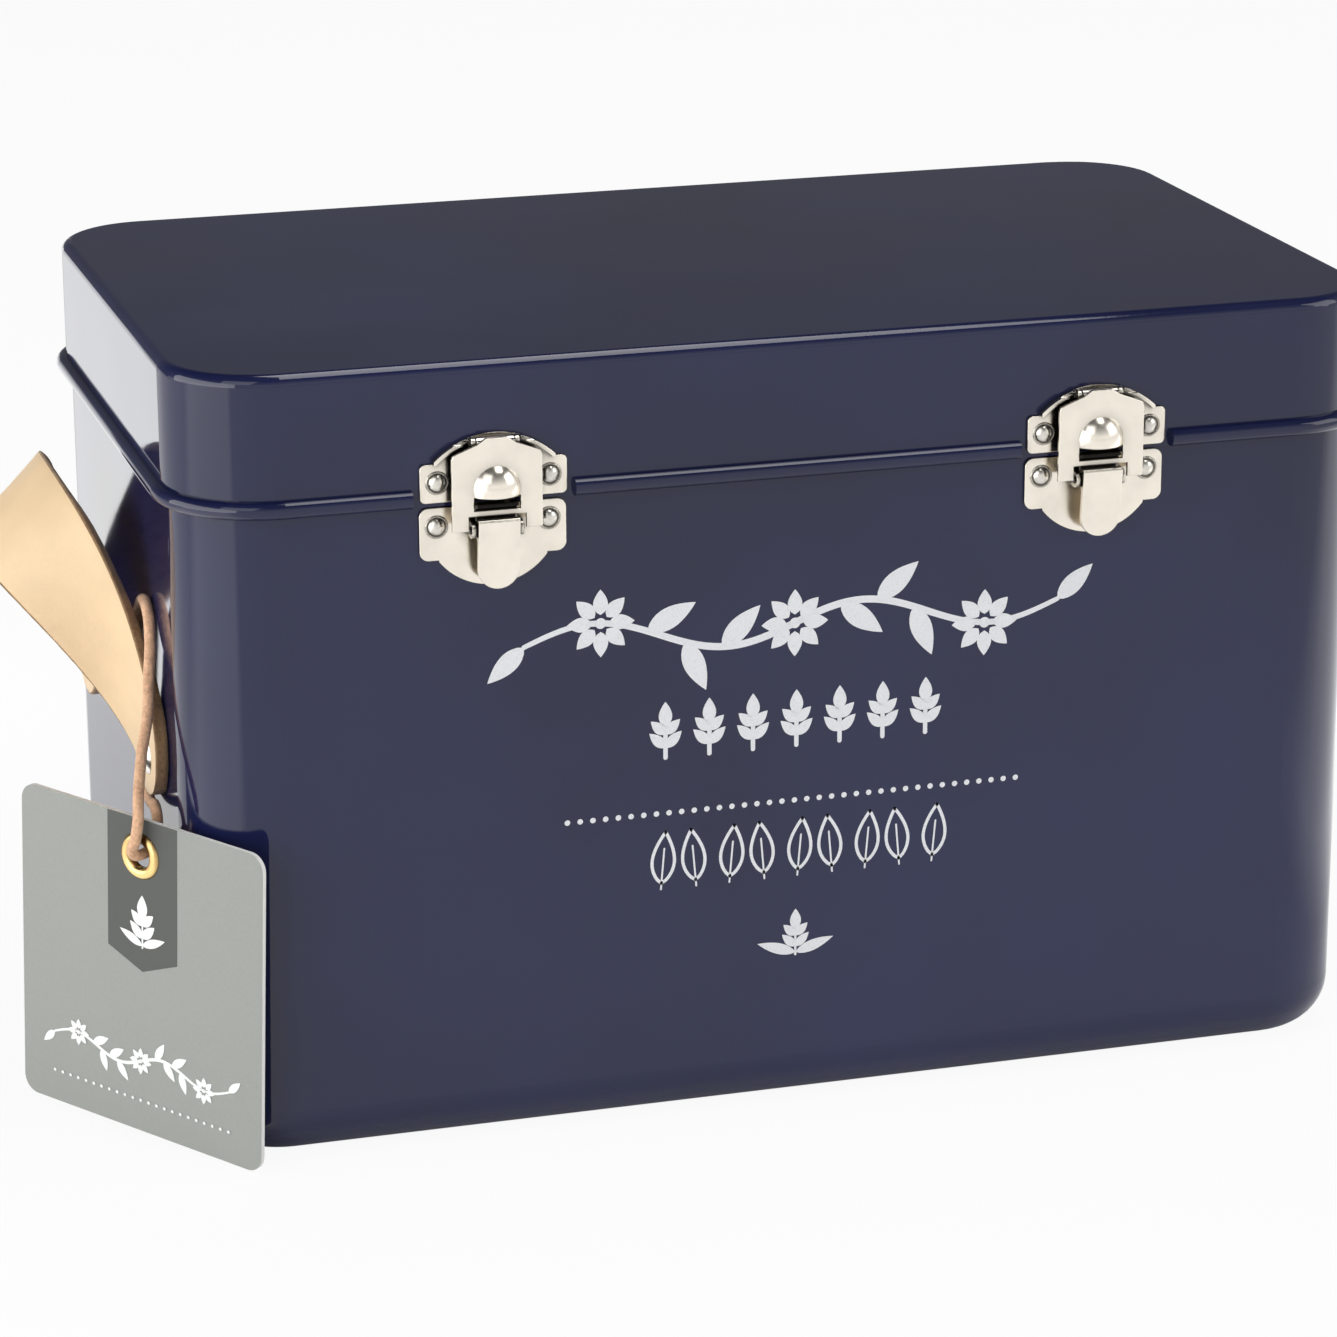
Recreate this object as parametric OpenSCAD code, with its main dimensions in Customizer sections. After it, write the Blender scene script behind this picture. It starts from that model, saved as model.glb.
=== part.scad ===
// Garden seed organizer box: an enamelled sheet steel tin with a hinged lid.
// Two spring latches hold the lid, and a leather strap handle sits on each end.
// Millimetres. X runs along the front, Y to the back, Z up.
// The origin is the centre of the footprint, on the surface that the box stands on.

/* [Tin] */
// Width of the tin, left to right
box_w = 275; // [240:1:320]
// Depth of the tin, front to back
box_d = 160; // [130:1:190]
// Height of the shoulder that the lid closes on
base_h = 149.2; // [125:0.1:180]
// Height of the lid above the shoulder
lid_h = 30.8; // [27:0.1:45]
// Plan radius of the four upright corners
corner_r = 21; // [16:0.5:28]
// Radius of the bottom edge of the tin
foot_r = 12; // [6:0.5:14]
// Thickness of the enamelled sheet
sheet = 0.8; // [0.6:0.1:1.1]
// How far the neck steps in from the wall below it
neck_step = 1.4; // [1.2:0.1:2.4]
// Height of the neck inside the lid
neck_h = 8.8; // [6:0.1:9]
// Radius of the roll along the top of the neck
rim_r = 1.1; // [0.9:0.1:1.4]

/* [Lid] */
// How far the lid wall stands outside the base wall
lid_overhang = 1.2; // [1.1:0.1:1.6]
// Radius of the top edge of the lid
lid_edge_r = 2.4; // [1.6:0.1:4]
// Radius of the wired edge along the bottom of the lid
curl_r = 2; // [1.7:0.1:2.2]
// How far the wired edge stands out of the lid wall
curl_proud = 2.3; // [2:0.1:2.7]
// Width of the flat in the wired edge at each latch and hinge
notch_w = 36; // [34:1:44]

/* [Latches] */
// Distance between the two latches
latch_spacing = 138.4; // [110:0.1:160]
// How far the pair of latches sits off the middle
latch_shift = -1.5; // [-5:0.1:5]
// Thickness of the latch plates and the hasp
plate_t = 0.8; // [0.7:0.1:0.9]
// Width of the latch plates
plate_w = 32.6; // [30:0.1:33.5]
// Radius of the arch of the lid plate
arch_r = 19.3; // [18.8:0.1:20]
// Distance between the two rivets of a plate
rivet_spacing = 25; // [24:0.1:26]
// Width of the hasp
hasp_w = 20; // [19:0.1:20.6]
// Width of the window in the hasp
window_w = 10.4; // [10.1:0.1:10.8]
// Radius of the domed hood over the window
hood_r = 5.2; // [5:0.1:5.6]
// Height of the hood above the hasp
hood_rise = 2.6; // [2:0.1:3]
// Width of the lever
lever_w = 9.2; // [8.6:0.1:9.4]
// Radius of the pin that the hasp swings on
hasp_pin_r = 0.6; // [0.5:0.05:0.7]
// Radius of the pin that the lever turns on
lever_pin_r = 0.8; // [0.7:0.05:0.9]

/* [Hinges] */
// Distance between the two hinges
hinge_spacing = 140; // [110:1:170]
// Width of a hinge
hinge_w = 28; // [26:0.5:32]
// Length of the leaf that lies on the tin
leaf_h = 16; // [14:0.5:20]
// Thickness of a leaf
leaf_t = 1; // [0.8:0.1:1.1]
// Outer radius of the knuckles
knuckle_r = 2; // [1.8:0.05:2.05]
// Radius of the hinge pin
hinge_pin_r = 1; // [0.8:0.05:1.1]

/* [Rivets] */
// Radius of the domed rivet heads on latches and hinges
head_r = 2; // [1.8:0.1:2.3]
// Height of those heads
head_h = 1.1; // [0.8:0.1:1.3]
// Radius of their shanks
shank_r = 1.2; // [1:0.1:1.4]
// Radius of the heads that hold the straps
stud_r = 4.5; // [4:0.1:6]
// Height of the heads that hold the straps
stud_h = 1.9; // [1.4:0.1:2.4]
// Radius of the shanks that hold the straps
stud_shank_r = 2; // [1.6:0.1:2.4]

/* [Strap handles] */
// Width of the leather strap
strap_w = 26; // [22:0.5:27]
// Thickness of the leather
strap_t = 3; // [2.4:0.1:3.2]
// Distance between the two studs of a handle
stud_spacing = 81.4; // [76:0.1:88]
// How far the studs sit below the shoulder of the tin
stud_drop = 63.9; // [56:0.1:70]
// How far the strap lies flat on the tin past the middle of a stud
stud_clear = 4.2; // [4:0.1:8]
// How far the arch of the strap rises above its studs
arch_rise = 57.6; // [54:0.1:62]
// Gap between the wall and the near edge of the strap, at the top of the arch
arch_reach = 15.8; // [14:0.1:19]
// Angle of the strap at the top of the arch, below level
arch_droop = 40.6; // [20:0.1:45]
// Lean of the strap's ends towards each other
strap_lean = 40; // [34:1:46]

/* [Inside] */
// Height of the partition between the two compartments
partition_h = 128; // [100:1:140]
// Width of the flanges that fix the partition
flange_w = 10; // [6:1:14]
// Gap beside a card, from the middle of the tin and from the rounding of its foot
card_side_gap = 3.15; // [2.5:0.05:12]
// Height of a divider card without its tab
card_h = 112; // [90:1:125]
// Thickness of a divider card
card_t = 0.6; // [0.4:0.1:1]
// Distance from one card to the next
card_pitch = 6; // [4:0.5:7]
// Width of the tab on a card
tab_w = 26; // [16:1:34]
// Height of the tab on a card
tab_h = 10; // [6:1:14]

/* [Swing tag] */
// Width of the tag
tag_w = 71; // [60:1:76]
// Height of the tag
tag_h = 75; // [66:0.5:75.5]
// Thickness of the card
tag_t = 1; // [0.6:0.1:1.2]
// Corner radius of the tag
tag_r = 4; // [2:0.5:6]
// Distance from the top of the tag down to its eyelet
eyelet_drop = 8.8; // [8.5:0.1:11]
// Radius of the hole through the eyelet
eyelet_hole_r = 2.75; // [2.7:0.05:3]
// Outer radius of the eyelet
eyelet_r = 5.5; // [5:0.1:6]
// Radius of the suede cord
cord_r = 1.25; // [1:0.05:1.3]
// Radius of the knot
knot_r = 2.4; // [2:0.1:2.6]

/* [Hidden] */
$fn = 64;

// Running gap of a pin in its bore, and of a shank in its hole
fit = 0.05;
// Gap between the wired edge of the lid and the shoulder below it
seat_gap = 0.3;
// Gap between the hanging tag and the corner behind it
tag_gap = 2.7;
// Gap between the leather and the wall
strap_gap = 0.1;
// Reach of a cut past the face that it leaves through
over = 1;

wall_x = box_w / 2;
wall_y = box_d / 2;
box_top = base_h + lid_h;
neck_in = neck_step + sheet;

// Wired edge of the lid: offset from the base wall, and height above the shoulder
curl_x = lid_overhang + curl_proud - curl_r;
curl_z = seat_gap + sqrt(pow(curl_r, 2) - pow(curl_x, 2));

// Latch: every d is a distance out from the base wall, every z is above the shoulder
lid_plate_d = lid_overhang;
lug_z = [0.6, 9.1];
lug_corner_r = 1.2;
arch_top_z = 15.3;
arch_half = 13.4;
arch_rim_w = 0.9;
arch_rim_d = 1.4;
arch_rim_from = 5.8;
hasp_axis = [3.1, 13.6];
hasp_knuckle_r = 1.05;
hasp_knuckle_half = 4.2;
hasp_ear = [4.4, 5.3];
hasp_ear_r = 1;
hasp_d = hasp_axis[0] + hasp_knuckle_r + 2 * fit;
hasp_face_d = hasp_d + plate_t;
hasp_foot_z = -5.5;
hasp_leg_in = 6.4;
bar_z = [-2.3, -1.2];
window_top_z = 1.8;
hood_z = 3.3;
hood_t = 0.7;
base_plate_z = [-12.6, -0.9];
base_plate_corner_r = 2;
chin_r = 15.2;
chin_z = -3.7;
chin_half = 12;
lever_axis = [3.8, -5.6];
lever_boss_r = 1.7;
lever_cheek = [4.95, 5.75];
lever_cheek_r = 1.8;
lever_pin_half = 6.1;
lever_foot_z = -18.7;
spring_r = 1.5;
spring_half = 1.5;
spring_wire_r = 0.25;
spring_slot = 0.15;
lid_rivet_z = 5;
base_rivet_z = -5.1;

// Hinge: the same kind of offsets, out from the back wall
hinge_axis = [3.4, 0.2];
hinge_gap = 0.2;
hinge_middle_half = 4.7;
lower_leaf_top = -3;
upper_leaf_foot = 3.4;
lower_rivet_z = -11;
upper_rivet_z = 12.6;
hinge_rivet_spacing = 16;
pin_head_r = 1.6;
pin_head_h = 0.8;

// Rivet tails inside the tin
tail_r = 1.8;
tail_h = 0.6;
stud_tail_r = 4;
stud_tail_h = 0.9;

// Strap
strap_rows = 16;
strap_end_rows = 5;
stud_z = base_h - stud_drop;
strap_x = wall_x + strap_gap + strap_t;
strap_dir = [0, sin(strap_lean), cos(strap_lean)];
strap_across = [0, cos(strap_lean), -sin(strap_lean)];
strap_root = [-strap_x, -stud_spacing / 2, stud_z] + stud_clear * strap_dir;
arch_in = [-(wall_x + arch_reach), 0, stud_z + arch_rise];
arch_out = arch_in - strap_w * [cos(arch_droop), 0, sin(arch_droop)];
// Handles of the two edge curves: how far each leaves its end, and its apex, along the strap
front_leave = 31.3;
front_arrive = 48.4;
front_bulge = 0.5;
rear_leave = 19.6;
rear_arrive = 38.4;
rear_bulge = 3.8;

// Cards and partition
card_gap = 0.1;
card_w = wall_x - foot_r + sheet - 2 * card_side_gap;
card_corner_r = 3;
first_card_y = wall_y - foot_r - 2;
cards_per_side = 6;
hem_r = 1.2;
partition_gap = 0.05;
flange_margin = 14;

// Tag: it hangs before the front left corner, turned to face out from it and a little askew
tag_turn = 52.8;
tag_askew = 2.6;
tag_reach = 17.1;
tag_out = tag_gap + tag_t / 2 + corner_r;
corner_axis = [-(wall_x - corner_r), -(wall_y - corner_r)];
eyelet_z = 68.8;
eyelet_x = corner_axis[0] - tag_out * sin(tag_turn) - tag_reach * cos(tag_turn);
eyelet_y = corner_axis[1] - tag_out * cos(tag_turn) + tag_reach * sin(tag_turn);
eyelet_bead_h = 0.9;
eyelet_wall = 0.3;

// The cord runs from its knot behind the tag through the eyelet and up beside the strap,
// over between strap and wall, down past the strap's end and back to the knot.
cord_route = [
    [-141.8, -56.7, 71.2],
    [-143.0, -57.6, 70.1],
    [-144.3, -58.7, 69.3],
    [-146.1, -60.0, 69.0],
    [-147.8, -61.3, 69.4],
    [-148.5, -61.9, 71.0],
    [-147.9, -62.9, 73.4],
    [-147.1, -62.8, 78.0],
    [-146.3, -60.0, 83.2],
    [-144.3, -54.7, 90.6],
    [-141.9, -49.9, 97.2],
    [-140.8, -46.4, 103.8],
    [-139.6, -43.2, 110.4],
    [-139.2, -41.4, 114.0],
    [-139.1, -39.8, 117.4],
    [-139.1, -36.0, 119.6],
    [-139.2, -31.5, 118.2],
    [-139.4, -27.2, 112.5],
    [-139.4, -24.2, 104.5],
    [-139.2, -22.6, 96.5],
    [-139.1, -22.0, 89.0],
    [-139.1, -22.8, 82.6],
    [-139.1, -25.8, 77.6],
    [-139.3, -30.6, 74.2],
    [-139.7, -36.4, 73.3],
    [-140.2, -42.5, 74.3],
    [-140.9, -49.0, 76.3],
    [-141.4, -54.6, 75.4],
    [-141.8, -56.7, 71.2],
];
cord_sides = 8;
cord_steps = 2;

function unit(v) = v / norm(v);
function flip_y(v) = [v[0], -v[1], v[2]];

// Places. Each puts a piece's origin on the wall, level with the shoulder, facing out along -Y.
module on_front(x) {
    translate([x, -wall_y, base_h]) children();
}

module on_back(x) {
    rotate([0, 0, 180]) translate([-x, -wall_y, base_h]) children();
}

module at_latch(side) {
    on_front(latch_shift + side * latch_spacing / 2) children();
}

module at_hinge(side) {
    on_back(side * hinge_spacing / 2) children();
}

// A profile drawn as (d, z), run along X through a width centred on x
module along_x(width, x = 0) {
    translate([x, 0, 0]) rotate([90, 0, 90]) linear_extrude(width, center = true) mirror([1, 0]) children();
}

// The same on both sides of the middle, from x = span[0] to span[1]
module both_sides(span) {
    for (side = [-1, 1]) along_x(span[1] - span[0], side * (span[0] + span[1]) / 2) children();
}

// A profile drawn as (x, z), standing out from d to d + t
module facing(d, t) {
    translate([0, -d, 0]) rotate([90, 0, 0]) linear_extrude(t) children();
}

// A round hole or pin along Y, from d = from to d = to
module across_wall(r, from, to) {
    translate([0, -from, 0]) rotate([90, 0, 0]) cylinder(r = r, h = to - from);
}

module round_rect(x0, x1, z0, z1, r) {
    translate([x0 + r, z0]) square([x1 - x0 - 2 * r, z1 - z0]);
    translate([x0, z0 + r]) square([x1 - x0, z1 - z0 - 2 * r]);
    for (x = [x0 + r, x1 - r], z = [z0 + r, z1 - r]) translate([x, z]) circle(r);
}

module dome(r, h) {
    ball_r = (r * r + h * h) / (2 * h);
    translate([0, 0, h - ball_r]) intersection() {
        sphere(ball_r);
        translate([0, 0, ball_r - h]) cylinder(r = ball_r, h = 2 * h);
    }
}

// A rivet from its domed head at d = face to its tail behind d = back
module rivet(face, back, r, h, shank, tail, tail_t) {
    rotate([90, 0, 0]) {
        translate([0, 0, face]) dome(r, h);
        translate([0, 0, back - tail_t]) cylinder(r = tail, h = tail_t);
        translate([0, 0, back - tail_t]) cylinder(r = shank, h = face - back + tail_t);
    }
}

// Runs a profile, drawn as (distance out from the wall, z), right round the tin
module swept_round() {
    for (turn = [0:3]) {
        across = turn % 2 == 0 ? box_w : box_d;
        along = turn % 2 == 0 ? box_d : box_w;
        rotate([0, 0, 90 * turn]) translate([across / 2 - corner_r, along / 2 - corner_r, 0]) {
            rotate_extrude(angle = 90) translate([corner_r, 0]) children();
            rotate([90, 0, 0]) linear_extrude(along - 2 * corner_r) translate([corner_r, 0]) children();
        }
    }
}

// Everything inside a wall at x = out and above z = 0, with a rounded bottom edge
module bowl_outline(out, floor_z, edge_r, top) {
    translate([-corner_r - over, floor_z]) square([corner_r + over + out - edge_r, top - floor_z]);
    translate([-corner_r, floor_z + edge_r]) square([corner_r + out, top - floor_z - edge_r]);
    translate([out - edge_r, floor_z + edge_r]) circle(edge_r);
}

module base_profile() {
    intersection() {
        difference() {
            bowl_outline(0, 0, foot_r, base_h);
            bowl_outline(-sheet, sheet, foot_r - sheet, base_h + over);
        }
        translate([-corner_r, 0]) square([corner_r, base_h]);
    }
    translate([-neck_in, base_h - sheet]) square([neck_in, sheet]);
    translate([-neck_in, base_h - sheet]) square([sheet, sheet + neck_h]);
    translate([-neck_step - rim_r, base_h + neck_h]) circle(rim_r);
}

module rivet_holes(z, spacing, from, to) {
    for (x = [-1, 1]) translate([x * spacing / 2, 0, z]) across_wall(shank_r + fit, from, to);
}

module base_tin() {
    color("midnightblue") difference() {
        union() {
            swept_round() base_profile();
            translate([-wall_x + corner_r, -wall_y + corner_r, 0])
                cube([box_w - 2 * corner_r, box_d - 2 * corner_r, sheet]);
        }
        for (side = [-1, 1]) {
            at_latch(side) rivet_holes(base_rivet_z, rivet_spacing, -sheet - over, over);
            at_hinge(side) rivet_holes(lower_rivet_z, hinge_rivet_spacing, -sheet - over, over);
        }
        for (x = [-1, 1], y = [-1, 1])
            translate([x * wall_x, y * stud_spacing / 2, stud_z]) rotate([0, 90, 0])
                cylinder(r = stud_shank_r + fit, h = 2 * (sheet + over), center = true);
    }
}

module lid_profile() {
    inner_out = lid_overhang - sheet;
    translate([0, box_top]) mirror([0, 1]) intersection() {
        difference() {
            bowl_outline(lid_overhang, 0, lid_edge_r, lid_h - curl_z);
            bowl_outline(inner_out, sheet, lid_edge_r - sheet, lid_h);
        }
        translate([-corner_r, 0]) square([corner_r + lid_overhang, lid_h]);
    }
    translate([curl_x, base_h + curl_z]) circle(curl_r);
}

// Cuts the wired edge back to the lid wall, so that a plate can lie flat on it
module curl_notch() {
    translate([-notch_w / 2, -lid_overhang - curl_proud - over, curl_z - curl_r - over])
        cube([notch_w, curl_proud + over, 2 * (curl_r + over)]);
}

module lid() {
    color("midnightblue") difference() {
        union() {
            swept_round() lid_profile();
            translate([-wall_x + corner_r, -wall_y + corner_r, box_top - sheet])
                cube([box_w - 2 * corner_r, box_d - 2 * corner_r, sheet]);
        }
        for (side = [-1, 1]) {
            at_latch(side) curl_notch();
            at_hinge(side) curl_notch();
            at_latch(side) rivet_holes(lid_rivet_z, rivet_spacing, -over, lid_overhang + over);
            at_hinge(side) rivet_holes(upper_rivet_z, hinge_rivet_spacing, -over, lid_overhang + over);
        }
    }
}

module hinge_knuckles(half) {
    along_x(2 * half) translate(hinge_axis) circle(knuckle_r);
}

module hinge_bore() {
    along_x(hinge_w + 2 * over) translate(hinge_axis) circle(hinge_pin_r + fit);
}

module hinge_lower_leaf() {
    color("gainsboro") difference() {
        union() {
            facing(0, leaf_t)
                round_rect(-hinge_w / 2, hinge_w / 2, lower_leaf_top - leaf_h, lower_leaf_top, 1);
            along_x(hinge_w) polygon([
                [0, lower_leaf_top - 1], [0, lower_leaf_top + 0.4],
                [hinge_axis[0] - 1.6, hinge_axis[1] - 0.8], hinge_axis,
                [hinge_axis[0] + 1, hinge_axis[1] - 1.7], [leaf_t, lower_leaf_top - 1.4],
            ]);
            hinge_knuckles(hinge_w / 2);
        }
        along_x(2 * (hinge_middle_half + hinge_gap))
            translate(hinge_axis) circle(knuckle_r + 2 * hinge_gap);
        hinge_bore();
        rivet_holes(lower_rivet_z, hinge_rivet_spacing, -over, leaf_t + over);
    }
}

module hinge_upper_leaf() {
    color("gainsboro") difference() {
        union() {
            facing(lid_overhang, leaf_t)
                round_rect(-hinge_w / 2, hinge_w / 2, upper_leaf_foot, upper_leaf_foot + leaf_h, 1);
            along_x(2 * hinge_middle_half) polygon([
                [lid_overhang, upper_leaf_foot + 1], [lid_overhang + leaf_t, upper_leaf_foot + 2],
                [hinge_axis[0] + 1.2, hinge_axis[1] + 1.4], hinge_axis,
                [hinge_axis[0] - 1.7, hinge_axis[1] + 1],
            ]);
            hinge_knuckles(hinge_middle_half);
        }
        hinge_bore();
        rivet_holes(upper_rivet_z, hinge_rivet_spacing, -over, lid_overhang + leaf_t + over);
    }
}

module hinge_pin() {
    color("silver") {
        along_x(hinge_w + 2 * fit) translate(hinge_axis) circle(hinge_pin_r);
        both_sides([hinge_w / 2 + fit, hinge_w / 2 + fit + pin_head_h])
            translate(hinge_axis) circle(pin_head_r);
    }
}

module rivet_pairs(z, spacing, face, back) {
    for (x = [-1, 1]) translate([x * spacing / 2, 0, z])
        rivet(face, back, head_r, head_h, shank_r, tail_r, tail_h);
}

module hinge_base_rivets() {
    color("silver") for (side = [-1, 1])
        at_hinge(side) rivet_pairs(lower_rivet_z, hinge_rivet_spacing, leaf_t, -sheet);
}

module hinge_lid_rivets() {
    color("silver") for (side = [-1, 1])
        at_hinge(side) rivet_pairs(upper_rivet_z, hinge_rivet_spacing,
            lid_overhang + leaf_t, lid_overhang - sheet);
}

module arch_outline(r) {
    translate([0, arch_top_z - arch_r]) circle(r);
}

module latch_lid_plate() {
    color("wheat") difference() {
        union() {
            facing(lid_plate_d, plate_t) {
                round_rect(-plate_w / 2, plate_w / 2, lug_z[0], lug_z[1], lug_corner_r);
                intersection() {
                    arch_outline(arch_r);
                    translate([-arch_half, lug_z[0]]) square([2 * arch_half, arch_top_z]);
                }
            }
            facing(lid_plate_d, plate_t + arch_rim_d) intersection() {
                difference() {
                    arch_outline(arch_r);
                    arch_outline(arch_r - arch_rim_w);
                }
                for (x = [-arch_half, arch_rim_from])
                    translate([x, lug_z[1]]) square([arch_half - arch_rim_from, arch_top_z]);
            }
            both_sides(hasp_ear) {
                translate(hasp_axis) circle(hasp_ear_r);
                translate([lid_plate_d + plate_t / 2, hasp_axis[1] - hasp_ear_r])
                    square([hasp_axis[0] - lid_plate_d - plate_t / 2, 2 * hasp_ear_r]);
            }
        }
        along_x(plate_w) translate(hasp_axis) circle(hasp_pin_r + fit);
        rivet_holes(lid_rivet_z, rivet_spacing, -over, lid_plate_d + plate_t + over);
    }
}

module latch_hasp_pin() {
    color("silver") along_x(2 * hasp_ear[1] + 0.4) translate(hasp_axis) circle(hasp_pin_r);
}

module hasp_outline() {
    half = hasp_w / 2;
    right = [
        [half, hasp_foot_z], [half, 10.5], [half - 0.3, 11.3],
        [half - 1.6, 11.9], [4.2, 13.5], [2.4, 14.7],
    ];
    left = [for (i = [len(right) - 1:-1:0]) [-right[i][0], right[i][1]]];
    leg_h = bar_z[0] - hasp_foot_z;
    difference() {
        polygon(concat(right, left));
        translate([-hasp_leg_in, hasp_foot_z - over]) square([2 * hasp_leg_in, leg_h + over]);
        translate([-window_w / 2, bar_z[1]]) square([window_w, window_top_z - bar_z[1]]);
        intersection() {
            translate([0, hood_z]) circle(hood_r - hood_t);
            translate([-hood_r, window_top_z - 0.1]) square(2 * hood_r);
        }
    }
}

module hasp_hood() {
    ball_r = (pow(hood_r, 2) + pow(hood_rise, 2)) / (2 * hood_rise);
    intersection() {
        translate([0, -hasp_face_d - hood_rise + ball_r, hood_z]) difference() {
            sphere(ball_r);
            sphere(ball_r - hood_t);
        }
        translate([-hood_r, -hasp_face_d - hood_rise - over, window_top_z])
            cube([2 * hood_r, hood_rise + over + plate_t / 2, 2 * hood_r]);
    }
}

module latch_hasp() {
    color("wheat") difference() {
        union() {
            facing(hasp_d, plate_t) hasp_outline();
            hasp_hood();
            along_x(2 * hasp_knuckle_half) {
                translate(hasp_axis) circle(hasp_knuckle_r);
                polygon([
                    [hasp_axis[0], hasp_axis[1] - 0.9], [hasp_d + plate_t / 2, hasp_axis[1] - 1.6],
                    [hasp_d + plate_t / 2, hasp_axis[1] + 0.4], [hasp_axis[0], hasp_axis[1] + 0.9],
                ]);
            }
        }
        along_x(hasp_w) translate(hasp_axis) circle(hasp_pin_r + fit);
    }
}

module latch_base_plate() {
    color("wheat") difference() {
        union() {
            facing(0, plate_t) {
                round_rect(-plate_w / 2, plate_w / 2, base_plate_z[0], base_plate_z[1], base_plate_corner_r);
                intersection() {
                    translate([0, chin_z]) circle(chin_r);
                    translate([-chin_half, chin_z - chin_r]) square([2 * chin_half, chin_r]);
                }
            }
            both_sides(lever_cheek) {
                translate(lever_axis) circle(lever_cheek_r);
                translate([plate_t / 2, lever_axis[1] - lever_cheek_r])
                    square([lever_axis[0] - plate_t / 2, 2 * lever_cheek_r]);
            }
        }
        along_x(plate_w) translate(lever_axis) circle(lever_pin_r + fit);
        rivet_holes(base_rivet_z, rivet_spacing, -over, plate_t + over);
    }
}

module latch_lever_pin() {
    color("silver") along_x(2 * lever_pin_half) translate(lever_axis) circle(lever_pin_r);
}

module latch_lever() {
    end_r = lever_w / 2;
    color("wheat") difference() {
        union() {
            intersection() {
                along_x(lever_w) polygon([
                    [3.3, -5.4], [3.3, 0.6], [5.3, 0.3], [5.6, -0.4], [4, -0.9], [4, -3.5],
                    [5.3, -3.7], [5.3, -3], [6.4, -3], [6.8, -3.5], [6.6, lever_axis[1]],
                    [5.3, lever_foot_z], [4.2, lever_foot_z], [5.2, -8], [3.9, -6.9],
                ]);
                facing(0, 10) {
                    translate([0, lever_foot_z + end_r]) circle(end_r);
                    translate([-end_r, lever_foot_z + end_r]) square([lever_w, 25]);
                }
            }
            along_x(lever_w) translate(lever_axis) circle(lever_boss_r);
        }
        along_x(2 * (spring_half + spring_slot)) translate(lever_axis) circle(lever_boss_r + 0.1);
        along_x(plate_w) translate(lever_axis) circle(lever_pin_r + fit);
    }
}

// The torsion spring on the lever pin: its wound body, a leg up the lever's arm and one on the plate
module latch_lever_spring() {
    color("dimgray") difference() {
        union() {
            along_x(2 * spring_half) translate(lever_axis) circle(spring_r);
            translate([0, -3, lever_axis[1]]) cylinder(r = spring_wire_r, h = 4.6);
            translate([0, -lever_axis[0] + 0.8, lever_axis[1] - 0.6]) rotate([-140, 0, 0])
                cylinder(r = spring_wire_r, h = 2.9);
        }
        along_x(2 * spring_half + 1) translate(lever_axis) circle(lever_pin_r + fit);
    }
}

module latch_base_rivets() {
    color("silver") for (side = [-1, 1])
        at_latch(side) rivet_pairs(base_rivet_z, rivet_spacing, plate_t, -sheet);
}

module latch_lid_rivets() {
    color("silver") for (side = [-1, 1])
        at_latch(side) rivet_pairs(lid_rivet_z, rivet_spacing,
            lid_plate_d + plate_t, lid_overhang - sheet);
}

// One strap, on the left end. Each row across it is [near edge, far edge, way that the smooth face looks].
function curve_at(p, s) =
    pow(1 - s, 3) * p[0] + 3 * pow(1 - s, 2) * s * p[1] + 3 * (1 - s) * s * s * p[2] + pow(s, 3) * p[3];
front_start = strap_root - strap_w / 2 * strap_across;
rear_start = strap_root + strap_w / 2 * strap_across;
front_curve = [
    front_start, front_start + front_leave * strap_dir - [front_bulge, 0, 0],
    arch_in - [0, front_arrive, 0], arch_in,
];
rear_curve = [
    rear_start, rear_start + rear_leave * strap_dir - [rear_bulge, 0, 0],
    arch_out - [0, rear_arrive, 0], arch_out,
];
function mid_at(s) = (curve_at(front_curve, s) + curve_at(rear_curve, s)) / 2;
function face_at(s) = unit(cross(
    mid_at(s + 0.01) - mid_at(s - 0.01), curve_at(rear_curve, s) - curve_at(front_curve, s)));
end_rows = [for (i = [0:strap_end_rows - 1])
    let (a = 84 * (1 - i / strap_end_rows), c = strap_root - strap_w / 2 * sin(a) * strap_dir)
    [c - strap_w / 2 * cos(a) * strap_across, c + strap_w / 2 * cos(a) * strap_across, [-1, 0, 0]]];
arch_rows = [for (i = [0:strap_rows]) let (s = i / strap_rows)
    [curve_at(front_curve, s), curve_at(rear_curve, s), i == 0 ? [-1, 0, 0] : face_at(s)]];
half_rows = concat(end_rows, arch_rows);
all_rows = concat(half_rows, [for (i = [len(half_rows) - 2:-1:0]) [for (v = half_rows[i]) flip_y(v)]]);

module strap() {
    points = [for (row = all_rows)
        each [row[0], row[1], row[1] - strap_t * row[2], row[0] - strap_t * row[2]]];
    last = 4 * (len(all_rows) - 1);
    sides = [for (i = [0:len(all_rows) - 2], j = [0:3]) let (k = (j + 1) % 4)
        each [[4 * i + j, 4 * i + k, 4 * i + 4 + k], [4 * i + j, 4 * i + 4 + k, 4 * i + 4 + j]]];
    ends = [[2, 1, 0], [3, 2, 0], [last, last + 1, last + 2], [last, last + 2, last + 3]];
    difference() {
        polyhedron(points, concat(sides, ends));
        for (y = [-1, 1]) translate([-wall_x - 2 * strap_t, y * stud_spacing / 2, stud_z])
            rotate([0, 90, 0]) cylinder(r = stud_shank_r + fit, h = 3 * strap_t);
    }
}

module left_handle_strap() {
    color("burlywood") strap();
}

module right_handle_strap() {
    color("burlywood") mirror([1, 0, 0]) strap();
}

module handle_studs() {
    color("silver") for (end = [-90, 90], y = [-1, 1])
        rotate([0, 0, end]) translate([y * stud_spacing / 2, -wall_x, stud_z])
            rivet(strap_gap + strap_t, -sheet, stud_r, stud_h, stud_shank_r, stud_tail_r, stud_tail_h);
}

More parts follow.
